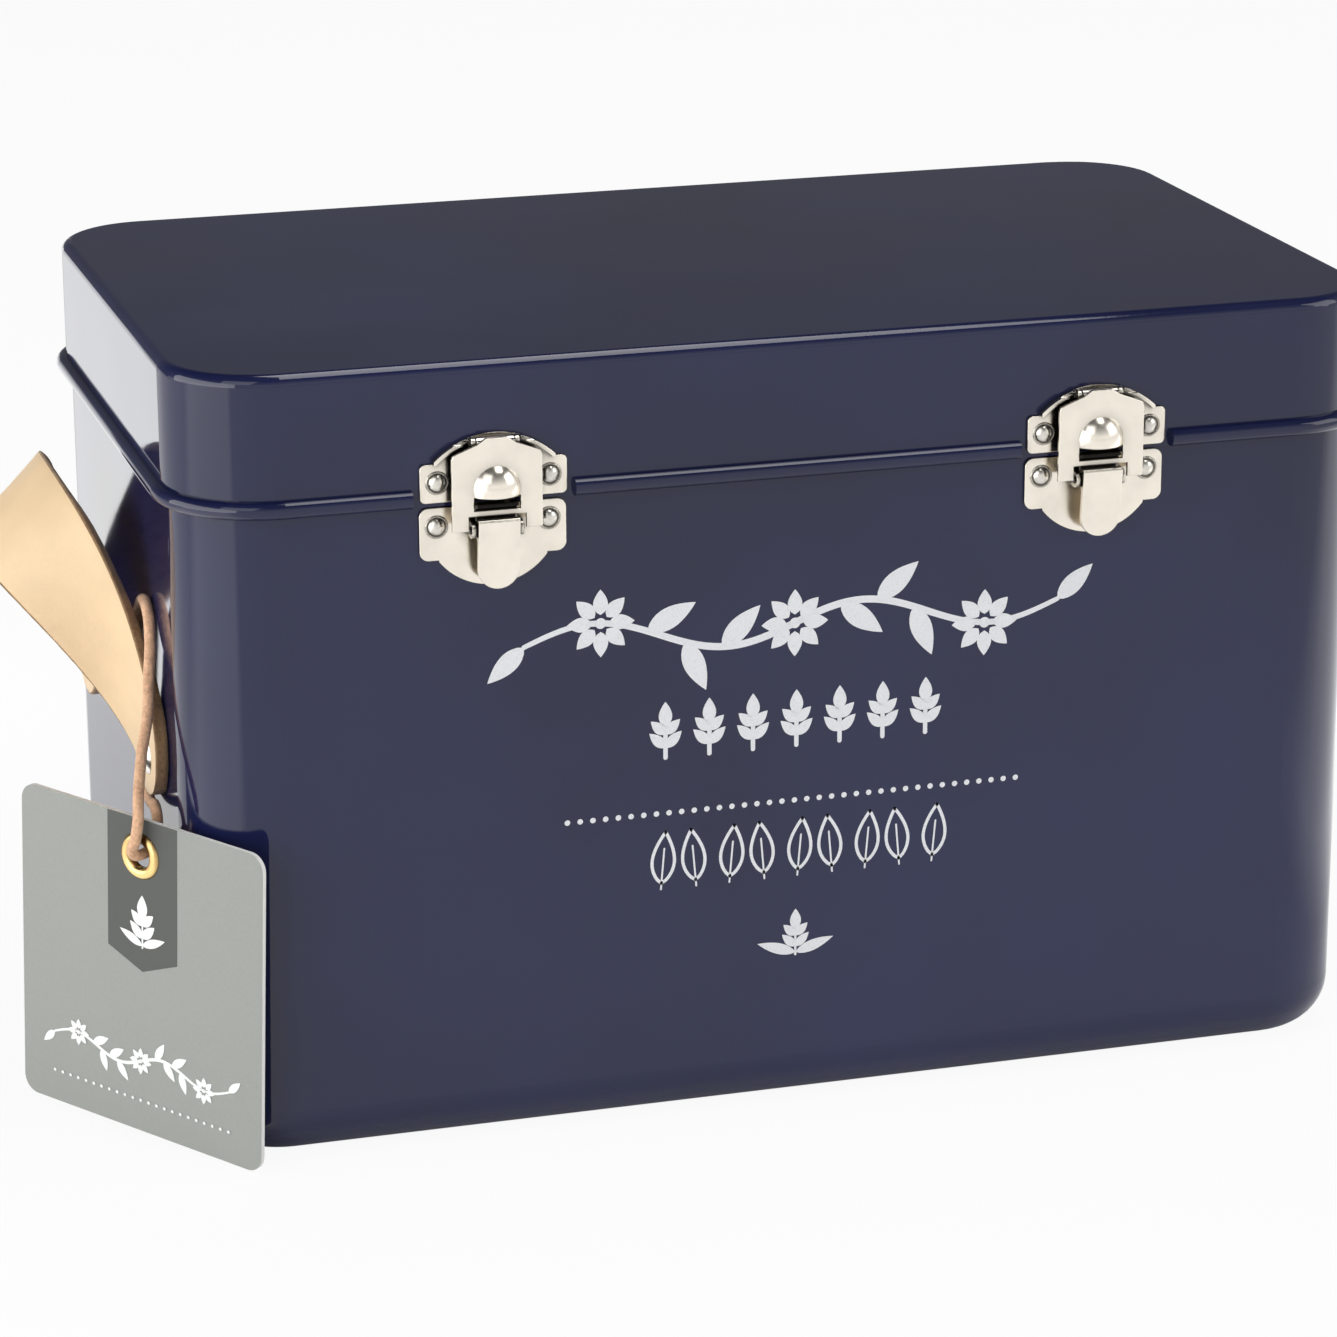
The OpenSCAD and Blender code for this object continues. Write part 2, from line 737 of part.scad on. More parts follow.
// A sheet across the middle, rounded like the foot of the tin, with a hem and four fixing flanges
module centre_partition() {
    half = wall_y - sheet - partition_gap;
    floor_z = sheet + partition_gap;
    edge_r = foot_r - sheet;
    color("lightsteelblue") {
        rotate([90, 0, 90]) linear_extrude(sheet, center = true) {
            translate([-half + edge_r, floor_z]) square([2 * (half - edge_r), partition_h - floor_z]);
            translate([-half, floor_z + edge_r]) square([2 * half, partition_h - floor_z - edge_r]);
            for (y = [-1, 1]) translate([y * (half - edge_r), floor_z + edge_r]) circle(edge_r);
        }
        translate([0, 0, partition_h]) rotate([90, 0, 0]) cylinder(r = hem_r, h = 2 * half, center = true);
        for (y = [-half, half - sheet]) translate([0, y, flange_margin + foot_r])
            cube([flange_w, sheet, partition_h - 2 * flange_margin - foot_r]);
    }
}

// Card number i of twelve: six in each compartment, with the tabs stepped across
module divider_card(i) {
    place = (i - 1) % cards_per_side;
    side = i <= cards_per_side ? -1 : 1;
    middle = side * (wall_x - foot_r + sheet) / 2;
    foot = sheet + card_gap;
    top = foot + card_h;
    tab_x = -card_w / 2 + card_corner_r + place * (card_w - 2 * card_corner_r - tab_w) / (cards_per_side - 1);
    color("ivory") translate([middle, first_card_y - place * card_pitch, 0])
        facing(-card_t / 2, card_t) {
            round_rect(-card_w / 2, card_w / 2, foot, top, card_corner_r);
            round_rect(tab_x, tab_x + tab_w, top - 2 * card_corner_r, top + tab_h, card_corner_r);
        }
}

module at_tag() {
    translate([eyelet_x, eyelet_y, eyelet_z]) rotate([0, tag_askew, -tag_turn]) children();
}

module tag_card() {
    color("darkgray") at_tag() facing(-tag_t / 2, tag_t) difference() {
        round_rect(-tag_w / 2, tag_w / 2, eyelet_drop - tag_h, eyelet_drop, tag_r);
        circle(eyelet_hole_r + eyelet_wall + fit);
    }
}

// A brass ring pressed through the card, with a rolled bead on both faces
module tag_eyelet() {
    bead_mid = (eyelet_hole_r + eyelet_r) / 2;
    bead_half = (eyelet_r - eyelet_hole_r) / 2;
    bead_r = (pow(bead_half, 2) + pow(eyelet_bead_h, 2)) / (2 * eyelet_bead_h);
    color("goldenrod") at_tag() rotate([90, 0, 0]) rotate_extrude() {
        for (face = [0, 1]) mirror([0, face]) intersection() {
            translate([bead_mid, tag_t / 2 + eyelet_bead_h - bead_r]) circle(bead_r);
            translate([eyelet_hole_r, tag_t / 2]) square([2 * bead_half, eyelet_bead_h]);
        }
        translate([eyelet_hole_r, -tag_t / 2]) square([eyelet_wall, tag_t]);
    }
}

// A tube of round section along a smooth line through the route's points
function between(a, b, c, d, t) =
    (2 * b + t * (c - a) + t * t * (2 * a - 5 * b + 4 * c - d) + t * t * t * (3 * b - a - 3 * c + d)) / 2;
function smooth(p, steps) = let (n = len(p)) [
    for (i = [0:n - 2], k = [0:steps - 1])
        between(p[max(i - 1, 0)], p[i], p[i + 1], p[min(i + 2, n - 1)], k / steps),
    p[n - 1],
];
function heading(p, i) = unit(p[min(i + 1, len(p) - 1)] - p[max(i - 1, 0)]);
function carried(p, i, side) = let (t = heading(p, i)) unit(side - (side * t) * t);
function side_ways(p, i, side) = i >= len(p) ? [] :
    let (s = carried(p, i, side)) concat([s], side_ways(p, i + 1, s));

module tube(route, r, sides) {
    line = smooth(route, cord_steps);
    ways = side_ways(line, 0, [0, 0, 1]);
    n = len(line);
    points = [for (i = [0:n - 1], k = [0:sides - 1])
        let (a = 360 * k / sides, u = ways[i], v = cross(heading(line, i), u))
        line[i] + r * (cos(a) * u + sin(a) * v)];
    walls = [for (i = [0:n - 2], k = [0:sides - 1]) let (m = (k + 1) % sides)
        each [[i * sides + m, i * sides + k, (i + 1) * sides + k],
              [i * sides + m, (i + 1) * sides + k, (i + 1) * sides + m]]];
    caps = [for (k = [1:sides - 2])
        each [[0, k, k + 1], [(n - 1) * sides, (n - 1) * sides + k + 1, (n - 1) * sides + k]]];
    polyhedron(points, concat(walls, caps));
}

module tag_cord() {
    color("peru") tube(cord_route, cord_r, cord_sides);
}

module tag_knot() {
    color("peru") translate((cord_route[0] + cord_route[len(cord_route) - 1]) / 2) sphere(knot_r);
}

base_tin();
lid();
at_hinge(-1) hinge_lower_leaf();  // hinge_left_lower_leaf
at_hinge(-1) hinge_upper_leaf();  // hinge_left_upper_leaf
at_hinge(-1) hinge_pin();  // hinge_left_pin
at_hinge(1) hinge_lower_leaf();  // hinge_right_lower_leaf
at_hinge(1) hinge_upper_leaf();  // hinge_right_upper_leaf
at_hinge(1) hinge_pin();  // hinge_right_pin
hinge_base_rivets();
hinge_lid_rivets();
at_latch(-1) latch_base_plate();  // latch_left_base_plate
at_latch(-1) latch_lid_plate();  // latch_left_lid_plate
at_latch(-1) latch_hasp();  // latch_left_hasp
at_latch(-1) latch_hasp_pin();  // latch_left_hasp_pin
at_latch(-1) latch_lever();  // latch_left_lever
at_latch(-1) latch_lever_pin();  // latch_left_lever_pin
at_latch(-1) latch_lever_spring();  // latch_left_lever_spring
at_latch(1) latch_base_plate();  // latch_right_base_plate
at_latch(1) latch_lid_plate();  // latch_right_lid_plate
at_latch(1) latch_hasp();  // latch_right_hasp
at_latch(1) latch_hasp_pin();  // latch_right_hasp_pin
at_latch(1) latch_lever();  // latch_right_lever
at_latch(1) latch_lever_pin();  // latch_right_lever_pin
at_latch(1) latch_lever_spring();  // latch_right_lever_spring
latch_base_rivets();
latch_lid_rivets();
left_handle_strap();
right_handle_strap();
handle_studs();
centre_partition();
divider_card(1);  // divider_card_1
divider_card(2);  // divider_card_2
divider_card(3);  // divider_card_3
divider_card(4);  // divider_card_4
divider_card(5);  // divider_card_5
divider_card(6);  // divider_card_6
divider_card(7);  // divider_card_7
divider_card(8);  // divider_card_8
divider_card(9);  // divider_card_9
divider_card(10);  // divider_card_10
divider_card(11);  // divider_card_11
divider_card(12);  // divider_card_12
tag_card();
tag_eyelet();
tag_cord();
tag_knot();
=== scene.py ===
"""The looks of an enamelled seed organizer tin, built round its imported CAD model.

Everything is in metres, in the model's own frame: X to the right, Y to the back, Z up.
"""

import math
import random

import bmesh
import bpy
from bpy.props import FloatProperty, FloatVectorProperty, IntProperty, PointerProperty
from mathutils import Matrix, Vector


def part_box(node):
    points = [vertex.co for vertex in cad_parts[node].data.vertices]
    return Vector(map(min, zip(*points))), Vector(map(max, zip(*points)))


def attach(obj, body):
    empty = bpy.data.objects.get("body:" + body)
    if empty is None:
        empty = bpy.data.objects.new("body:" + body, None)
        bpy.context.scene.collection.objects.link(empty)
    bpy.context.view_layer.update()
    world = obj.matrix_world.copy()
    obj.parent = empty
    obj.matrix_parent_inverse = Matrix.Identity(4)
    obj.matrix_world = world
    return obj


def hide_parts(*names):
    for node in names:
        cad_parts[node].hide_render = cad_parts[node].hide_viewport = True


bl_info = {
    "name": "Seed organizer tin",
    "version": (1, 0, 0),
    "blender": (4, 5, 0),
    "location": "View3D > Sidebar > Seed Tin",
    "description": "Dresses a seed organizer tin: enamel, latches, straps, print and swing tag",
    "category": "Object",
}

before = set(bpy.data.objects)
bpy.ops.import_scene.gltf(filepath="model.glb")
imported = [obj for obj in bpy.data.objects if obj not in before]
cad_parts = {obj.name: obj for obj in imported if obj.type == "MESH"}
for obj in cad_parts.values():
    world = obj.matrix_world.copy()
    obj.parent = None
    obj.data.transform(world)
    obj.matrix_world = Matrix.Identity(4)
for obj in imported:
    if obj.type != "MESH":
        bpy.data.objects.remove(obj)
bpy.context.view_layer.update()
TIN_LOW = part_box("base_tin")[0]
LID_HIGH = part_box("lid")[1]
EYELET_LOW, EYELET_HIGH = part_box("tag_eyelet")
FRONT_Y = TIN_LOW.y
LEFT_X = TIN_LOW.x
MM = 0.001


# Places that the pieces share

# The swing tag hangs before the front left corner, turned to face out from it and a little askew.
TAG_TURN = math.radians(52.8)
TAG_ASKEW = math.radians(2.6)
TAG_THICK = 1.0 * MM
TAG_CENTRE = (EYELET_LOW + EYELET_HIGH) / 2
TAG_PLACE = (
    Matrix.Translation(TAG_CENTRE)
    @ Matrix.Rotation(-TAG_TURN, 4, "Z")
    @ Matrix.Rotation(TAG_ASKEW, 4, "Y")
)

# The cord's route: from its knot through the eyelet, up beside the strap,
# over between strap and wall, down past the strap's end and back to the knot.
CORD_ROUTE_MM = [
    (-141.8, -56.7, 71.2),
    (-143.0, -57.6, 70.1),
    (-144.3, -58.7, 69.3),
    (-146.1, -60.0, 69.0),
    (-147.8, -61.3, 69.4),
    (-148.5, -61.9, 71.0),
    (-147.9, -62.9, 73.4),
    (-147.1, -62.8, 78.0),
    (-146.3, -60.0, 83.2),
    (-144.3, -54.7, 90.6),
    (-141.9, -49.9, 97.2),
    (-140.8, -46.4, 103.8),
    (-139.6, -43.2, 110.4),
    (-139.2, -41.4, 114.0),
    (-139.1, -39.8, 117.4),
    (-139.1, -36.0, 119.6),
    (-139.2, -31.5, 118.2),
    (-139.4, -27.2, 112.5),
    (-139.4, -24.2, 104.5),
    (-139.2, -22.6, 96.5),
    (-139.1, -22.0, 89.0),
    (-139.1, -22.8, 82.6),
    (-139.1, -25.8, 77.6),
    (-139.3, -30.6, 74.2),
    (-139.7, -36.4, 73.3),
    (-140.2, -42.5, 74.3),
    (-140.9, -49.0, 76.3),
    (-141.4, -54.6, 75.4),
    (-141.8, -56.7, 71.2),
]


# Settings that a user may change


def length(name, about, default):
    return FloatProperty(name=name, description=about, default=default, unit="LENGTH", min=0.0)


def colour(name, about, default):
    return FloatVectorProperty(
        name=name, description=about, default=default, subtype="COLOR", size=3, min=0.0, max=1.0
    )


def angle(name, about, degrees):
    return FloatProperty(name=name, description=about, default=math.radians(degrees), unit="ROTATION")


def watts(name, about, default):
    return FloatProperty(name=name, description=about, default=default, unit="POWER", min=0.0)


def brightness(name, about, default):
    return FloatProperty(name=name, description=about, default=default, min=0.0)


class EnamelSettings(bpy.types.PropertyGroup):
    navy: colour("Enamel", "Colour of the fired enamel", (0.0084, 0.0114, 0.055))
    roughness: FloatProperty(
        name="Roughness",
        description="Roughness of the enamel",
        default=0.06,
        min=0.0,
        max=1.0,
        subtype="FACTOR",
    )
    ripple: length("Ripple", "Depth of the slow waves in the sheet", 0.00003)


class MetalSettings(bpy.types.PropertyGroup):
    nickel: colour("Nickel", "Colour of the plated latches", (0.88, 0.82, 0.72))
    steel: colour("Steel", "Colour of pins and rivets", (0.72, 0.69, 0.63))
    brass: colour("Brass", "Colour of the eyelet", (0.74, 0.52, 0.22))
    edge: length("Edge", "Radius that the stamped edges are softened to", 0.00035)


class StrapSettings(bpy.types.PropertyGroup):
    width: length("Width", "Width of the strap", 0.026)
    thickness: length("Thickness", "Thickness of the leather", 0.003)
    stud_spacing: length("Stud spacing", "Distance between the two studs of a handle", 0.0814)
    stud_drop: length("Stud drop", "How far the studs sit below the shoulder of the tin", 0.0639)
    stud_clear: length("Flat past a stud", "How far the strap lies flat past the middle of a stud", 0.0042)
    arch_rise: length("Arch rise", "How far the arch rises above the studs", 0.0576)
    arch_reach: length("Arch reach", "Gap between wall and strap at the top of the arch", 0.0158)
    arch_droop: angle("Arch droop", "Slope of the strap at its top", 40.6)
    lean: angle("Lean", "Lean of the strap's ends", 40)
    edge: length("Edge", "Radius of the worn edges", 0.0006)
    tan: colour("Leather", "Colour of the smooth face", (0.79, 0.585, 0.36))
    flesh: colour("Flesh side", "Colour of the cut edges and the back", (0.30, 0.185, 0.10))


class CordSettings(bpy.types.PropertyGroup):
    diameter: length("Diameter", "Diameter of the suede cord", 0.0025)
    knot: length("Knot", "Radius of the knot", 0.0030)
    tan: colour("Suede", "Colour of the cord", (0.74, 0.44, 0.275))


class PrintSettings(bpy.types.PropertyGroup):
    ink: colour("Ink", "Colour of the print on the tin", (0.80, 0.81, 0.84))
    lift: length("Lift", "Distance of the print from the enamel", 0.00004)
    dots: IntProperty(name="Dots", description="Number of dots in the line", default=37, min=2, max=80)
    dot_radius: length("Dot radius", "Radius of a dot", 0.00065)


class TagSettings(bpy.types.PropertyGroup):
    board: colour("Board", "Colour of the tag", (0.315, 0.325, 0.305))
    pennant: colour("Pennant", "Colour of the dark band", (0.092, 0.096, 0.090))
    ink: colour("Ink", "Colour of the print on the tag", (0.86, 0.87, 0.86))
    pennant_width: length("Pennant width", "Width of the dark band", 0.0205)
    pennant_side: length("Pennant side", "Length of the band's sides", 0.0322)
    pennant_tip: length("Pennant tip", "Length of the band at its point", 0.0363)


class StageSettings(bpy.types.PropertyGroup):
    floor: colour("Floor", "Colour of the floor", (0.90, 0.90, 0.90))
    key: watts("Key", "Power of the key light", 6.4)
    fill: watts("Fill", "Power of the fill light", 8.0)
    top: watts("Top", "Power of the top light", 12.0)
    wall_card: brightness("Wall card", "Glow of the card that the end wall reflects", 0.70)
    left_card: brightness("Left card", "Glow of the long card on the left", 2.6)
    room: brightness("Room", "Brightness of the room", 0.7)


GROUPS = {
    "seed_tin_enamel": EnamelSettings,
    "seed_tin_metal": MetalSettings,
    "seed_tin_strap": StrapSettings,
    "seed_tin_cord": CordSettings,
    "seed_tin_print": PrintSettings,
    "seed_tin_tag": TagSettings,
    "seed_tin_stage": StageSettings,
}


# Shader maths


class Value:
    """A shader socket that Python's operators work on. Each one adds a Math node."""

    def __init__(self, nodes, socket):
        self.nodes = nodes
        self.socket = socket

    def maths(self, operation, *others):
        return self.nodes.maths(operation, self, *others)

    def __add__(self, other):
        return self.maths("ADD", other)

    __radd__ = __add__

    def __sub__(self, other):
        return self.maths("SUBTRACT", other)

    def __rsub__(self, other):
        return self.nodes.maths("SUBTRACT", other, self)

    def __mul__(self, other):
        return self.maths("MULTIPLY", other)

    __rmul__ = __mul__


class Nodes:
    """The nodes of a material or of the world."""

    def __init__(self, tree):
        self.tree = tree
        tree.nodes.clear()

    def node(self, kind, settings=None, sockets=None):
        """Adds a node, sets its settings first, and then the values or links of its sockets."""
        made = self.tree.nodes.new(kind)
        for name, value in (settings or {}).items():
            setattr(made, name, value)
        for name, value in (sockets or {}).items():
            self.feed(made.inputs[name], value)
        return made

    def feed(self, socket, value):
        if isinstance(value, Value):
            value = value.socket
        if isinstance(value, bpy.types.NodeSocket):
            self.tree.links.new(value, socket)
        elif hasattr(value, "__len__") and socket.type == "RGBA" and len(value) == 3:
            socket.default_value = (*value, 1.0)
        else:
            socket.default_value = value

    def maths(self, operation, *values):
        made = self.node("ShaderNodeMath", {"operation": operation})
        for socket, value in zip(made.inputs, values):
            self.feed(socket, value)
        return Value(self, made.outputs[0])

    def axis(self, place, letter):
        """The X, Y or Z of a vector."""
        made = self.node("ShaderNodeSeparateXYZ", {}, {"Vector": place})
        return Value(self, made.outputs[letter])

    def spread(self, value, low, high, to_low=0.0, to_high=1.0):
        """Maps low..high of a value to to_low..to_high, and holds it there."""
        made = self.node(
            "ShaderNodeMapRange",
            {"clamp": True},
            {"Value": value, "From Min": low, "From Max": high, "To Min": to_low, "To Max": to_high},
        )
        return Value(self, made.outputs["Result"])

    def blend(self, mask, first, second):
        """A colour between two colours."""
        made = self.node("ShaderNodeMix", {"data_type": "RGBA"})
        self.feed(made.inputs[0], mask)
        self.feed(made.inputs[6], first)
        self.feed(made.inputs[7], second)
        return Value(self, made.outputs[2])

    def rays(self):
        """1 for what the camera sees directly, and 1 for what gloss and glass show."""
        path = self.node("ShaderNodeLightPath").outputs
        gloss = self.maths("MAXIMUM", path["Is Glossy Ray"], path["Is Transmission Ray"])
        return Value(self, path["Is Camera Ray"]), gloss

    def mix_shaders(self, mask, first, second):
        made = self.node("ShaderNodeMixShader")
        self.feed(made.inputs[0], mask)
        self.feed(made.inputs[1], first)
        self.feed(made.inputs[2], second)
        return made.outputs[0]


class Finish(Nodes):
    """A material made of nodes, with one Principled shader."""

    def __init__(self, name, **sockets):
        self.material = bpy.data.materials.new(name)
        self.material.use_nodes = True
        super().__init__(self.material.node_tree)
        self.shader = self.node("ShaderNodeBsdfPrincipled", {}, sockets)
        self.out = self.node("ShaderNodeOutputMaterial", {}, {"Surface": self.shader.outputs[0]})
        self.place = Value(self, self.node("ShaderNodeTexCoord").outputs["Object"])

    def stretched(self, scale):
        """The object's coordinates, scaled differently along each axis."""
        made = self.node("ShaderNodeVectorMath", {"operation": "MULTIPLY"})
        self.feed(made.inputs[0], self.place)
        made.inputs[1].default_value = scale
        return Value(self, made.outputs[0])

    def facing(self, way):
        """How squarely the surface faces a direction of the object, from either side."""
        normal = self.node("ShaderNodeTexCoord").outputs["Normal"]
        made = self.node("ShaderNodeVectorMath", {"operation": "DOT_PRODUCT"})
        self.feed(made.inputs[0], normal)
        made.inputs[1].default_value = way
        return self.maths("ABSOLUTE", Value(self, made.outputs["Value"]))

    def noise(self, scale, detail=3.0, rough=0.55, place=None):
        made = self.node(
            "ShaderNodeTexNoise",
            {"noise_dimensions": "3D"},
            {"Vector": place or self.place, "Scale": scale, "Detail": detail, "Roughness": rough},
        )
        return Value(self, made.outputs["Fac"])

    def cells(self, scale):
        made = self.node("ShaderNodeTexVoronoi", {}, {"Vector": self.place, "Scale": scale})
        return Value(self, made.outputs["Distance"])

    def bump(self, height, distance, strength=1.0, under=None):
        sockets = {"Height": height, "Distance": distance, "Strength": strength}
        if under is not None:
            sockets["Normal"] = under
        return Value(self, self.node("ShaderNodeBump", {}, sockets).outputs[0])

    def along(self, letter):
        """The object's coordinate along X, Y or Z."""
        return self.axis(self.place, letter)

    def nooks(self, reach, low=0.60, high=0.97):
        """1 where other surfaces stand closer than reach, such as under a hood, and 0 in the open."""
        made = self.node("ShaderNodeAmbientOcclusion", {"samples": 8}, {"Distance": reach})
        return self.spread(Value(self, made.outputs["AO"]), low, high, 1.0, 0.0)

    def softened(self, radius):
        made = self.node("ShaderNodeBevel", {"samples": 4}, {"Radius": radius})
        return Value(self, made.outputs[0])

    def set(self, name, value):
        self.feed(self.shader.inputs[name], value)


# Finishes


# The colour of bare pulp, at the cut edge of a card
PULP = (0.86, 0.86, 0.84)
WHITE = (1.0, 1.0, 1.0)
# How far from a crevice the painted shade in it reaches
SHADE_REACH = 3.0 * MM
# The height over which the painted shade on a lever's nose sets in
SHADE_FADE = 0.3 * MM


def shade(colour_value, factor):
    return tuple(min(1.0, channel * factor) for channel in colour_value)


def enamel_finish(settings):
    finish = Finish("navy_enamel", **{"Metallic": 0.0, "IOR": 1.5})
    cloud = finish.noise(9.0, 3.0)
    specks = finish.spread(finish.cells(420.0), 0.0, 0.035, 1.0, 0.0)
    rare_specks = specks * finish.spread(finish.noise(60.0, 1.0), 0.60, 0.66)
    clouded = finish.spread(cloud, 0.35, 0.65)
    base = finish.blend(clouded, shade(settings.navy, 0.78), shade(settings.navy, 1.24))
    finish.set("Base Color", finish.blend(rare_specks, base, shade(settings.navy, 6.0)))
    smears = finish.spread(finish.noise(28.0, 4.0, place=finish.stretched((1.0, 1.0, 0.35))), 0.42, 0.75)
    finish.set("Roughness", smears * 0.06 + settings.roughness)
    waves = finish.noise(14.0, 1.0)
    orange_peel = finish.noise(520.0, 2.0)
    under = finish.bump(waves, settings.ripple * 6)
    finish.set("Normal", finish.bump(orange_peel + rare_specks * 2.0, 0.006 * MM, under=under))
    return finish.material


def metal_finish(name, tint, rough, edge, tarnish=0.25, painted_shade_above=None):
    """Plated metal with painted shade in its nooks. Where painted_shade_above is given, painted shade darkens
    it nearly fully above that height.
    """
    finish = Finish(name, **{"Metallic": 1.0})
    stain = finish.spread(finish.noise(120.0, 4.0), 0.40, 0.75)
    plate = finish.blend(stain * tarnish, tint, shade(tint, 0.62))
    # Painted shade: darker where other parts stand close, in crevices and under hoods.
    plate = finish.blend(finish.nooks(SHADE_REACH) * 0.85, plate, shade(tint, 0.10))
    # Painted shade: above the given height, as on a lever's nose inside its hood, the metal is darkened
    # nearly fully.
    if painted_shade_above is not None:
        black = finish.spread(finish.along("Z"), painted_shade_above, painted_shade_above + SHADE_FADE)
        plate = finish.blend(black, plate, shade(tint, 0.03))
    finish.set("Base Color", plate)
    brushed = finish.noise(900.0, 3.0, place=finish.stretched((1.0, 1.0, 0.25)))
    finish.set("Roughness", stain * 0.10 + brushed * 0.06 + rough)
    dents = finish.noise(150.0, 2.0)
    finish.set("Normal", finish.bump(dents, 0.12 * MM, 0.6, under=finish.softened(edge)))
    return finish.material


def leather_finish(settings):
    finish = Finish("strap_grain", **{"IOR": 1.45, "Specular IOR Level": 0.4})
    mottle = finish.spread(finish.noise(55.0, 4.0), 0.3, 0.7)
    pores = finish.spread(finish.cells(2300.0), 0.0, 0.35)
    base = finish.blend(mottle, shade(settings.tan, 0.95), shade(settings.tan, 1.06))
    finish.set("Base Color", finish.blend((1 - pores) * 0.22, base, shade(settings.tan, 0.62)))
    finish.set("Roughness", mottle * 0.10 + 0.46)
    creases = finish.noise(900.0, 5.0, 0.65)
    finish.set("Normal", finish.bump(pores + creases * 0.8, 0.07 * MM, 0.5))
    return finish.material


def suede_finish(name, tint, scale=1600.0, depth=0.25 * MM):
    sheen = {"Sheen Weight": 0.25, "Sheen Roughness": 0.5}
    finish = Finish(name, **{"IOR": 1.4, "Specular IOR Level": 0.15, **sheen})
    nap = finish.noise(scale, 6.0, 0.7)
    tufts = finish.spread(finish.noise(scale * 0.22, 3.0), 0.32, 0.68)
    dark = finish.blend(finish.spread(nap, 0.35, 0.7), shade(tint, 0.62), shade(tint, 1.25))
    finish.set("Base Color", finish.blend(tufts * 0.55, dark, shade(tint, 1.45)))
    finish.set("Roughness", nap * 0.1 + 0.86)
    finish.set("Normal", finish.bump(nap + tufts * 1.5, depth, 0.8))
    return finish.material


def card_finish(name, tint, rough=0.7, fibre=0.06, face=None):
    """Card or board. A face direction leaves the cut edges the colour of bare pulp."""
    finish = Finish(name, **{"IOR": 1.45, "Specular IOR Level": 0.3})
    pulp = finish.spread(finish.noise(1500.0, 5.0, 0.7), 0.3, 0.7)
    cloud = finish.spread(finish.noise(40.0, 3.0), 0.3, 0.7)
    mixed = finish.blend(pulp, shade(tint, 1 - fibre), shade(tint, 1 + fibre))
    stock = finish.blend(cloud * 0.3, mixed, shade(tint, 1.05))
    if face is not None:
        stock = finish.blend(finish.spread(finish.facing(face), 0.4, 0.5), PULP, stock)
    finish.set("Base Color", stock)
    finish.set("Roughness", pulp * 0.1 + rough)
    finish.set("Normal", finish.bump(pulp, 0.02 * MM, 0.4))
    return finish.material


def ink_finish(name, tint, rough=0.3):
    finish = Finish(name, **{"IOR": 1.5, "Specular IOR Level": 0.5})
    wear = finish.spread(finish.noise(2600.0, 4.0), 0.30, 0.48)
    finish.set("Base Color", finish.blend(wear, shade(tint, 0.86), tint))
    finish.set("Roughness", wear * 0.08 + rough)
    finish.set("Normal", finish.bump(wear, 0.008 * MM, 0.4))
    return finish.material


def dress(node, material):
    """Gives a CAD node a finish of this scene."""
    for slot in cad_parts[node].material_slots:
        slot.material = material


def dress_all(nodes, material):
    for node in nodes:
        dress(node, material)


def nodes_named(*parts):
    return sorted(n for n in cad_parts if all(part in n for part in parts))


# Meshes


def add_object(name, data, materials):
    for material in materials:
        data.materials.append(material)
    made = bpy.data.objects.new(name, data)
    bpy.context.scene.collection.objects.link(made)
    return made


def mesh_object(name, mesh, materials, smooth=True):
    data = bpy.data.meshes.new(name)
    bmesh.ops.recalc_face_normals(mesh, faces=mesh.faces)
    for face in mesh.faces:
        face.smooth = smooth
    mesh.to_mesh(data)
    mesh.free()
    return add_object(name, data, materials)


def smooth_line(points, steps):
    """A Catmull-Rom line through points, with a number of steps between each two."""
    line = []
    last = len(points) - 1
    for i in range(last):
        a, b = points[max(i - 1, 0)], points[i]
        c, d = points[i + 1], points[min(i + 2, last)]
        square, cube = 2 * a - 5 * b + 4 * c - d, 3 * b - a - 3 * c + d
        for k in range(steps):
            t = k / steps
            line.append(0.5 * (2 * b + t * (c - a) + t * t * square + t**3 * cube))
    line.append(points[-1])
    return line


def ring_mesh(line, radius, sides):
    """A round tube along a closed line."""
    mesh = bmesh.new()
    count = len(line)
    side = Vector((0, 0, 1))
    rings = []
    for i, point in enumerate(line):
        ahead = (line[(i + 1) % count] - line[i - 1]).normalized()
        side = (side - side.dot(ahead) * ahead).normalized()
        across = ahead.cross(side)
        rings.append([
            mesh.verts.new(point + radius * (math.cos(a) * side + math.sin(a) * across))
            for a in (2 * math.pi * k / sides for k in range(sides))
        ])
    for low, high in zip(rings, rings[1:] + rings[:1]):
        for k in range(sides):
            mesh.faces.new((low[k], low[(k + 1) % sides], high[(k + 1) % sides], high[k]))
    return mesh


# Cord and camera


# How much of the cord's own thickness is left where the knot draws it tight
KNOT_SQUEEZE = 0.86
KNOT_STEPS = 72


def build_cord(settings):
    points = [Vector(p) * MM for p in CORD_ROUTE_MM]
    line = smooth_line(points, 4)
    real_length = sum((b - a).length for a, b in zip(line, line[1:]))
    data = bpy.data.curves.new("tag_cord_suede", "CURVE")
    data.dimensions = "3D"
    data.bevel_depth = settings.diameter / 2
    data.bevel_resolution = 5
    data.use_fill_caps = True
    spline = data.splines.new("POLY")
    spline.points.add(len(line) - 1)
    for knot, point in zip(spline.points, line):
        knot.co = (*point, 1.0)
    spline.use_smooth = True
    suede = suede_finish("cord_suede", settings.tan)
    cord = add_object("tag_cord_suede", data, [suede])
    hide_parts("tag_cord")
    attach(cord, "base")
    knot = build_knot(points[0], settings, suede)


def build_knot(centre, settings, suede):
    """An overhand knot, drawn tight: a trefoil of the same cord."""
    strand = settings.diameter / 2 * KNOT_SQUEEZE
    reach = (settings.knot - strand) / 3
    line = []
    for k in range(KNOT_STEPS):
        a = 2 * math.pi * k / KNOT_STEPS
        flat = Vector((math.sin(a) + 2 * math.sin(2 * a), math.cos(a) - 2 * math.cos(2 * a), 0))
        line.append(centre + reach * (flat + Vector((0, 0, -math.sin(3 * a)))))
    knot = mesh_object("tag_knot_suede", ring_mesh(line, strand, 10), [suede])
    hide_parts("tag_knot")
    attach(knot, "base")
    return knot


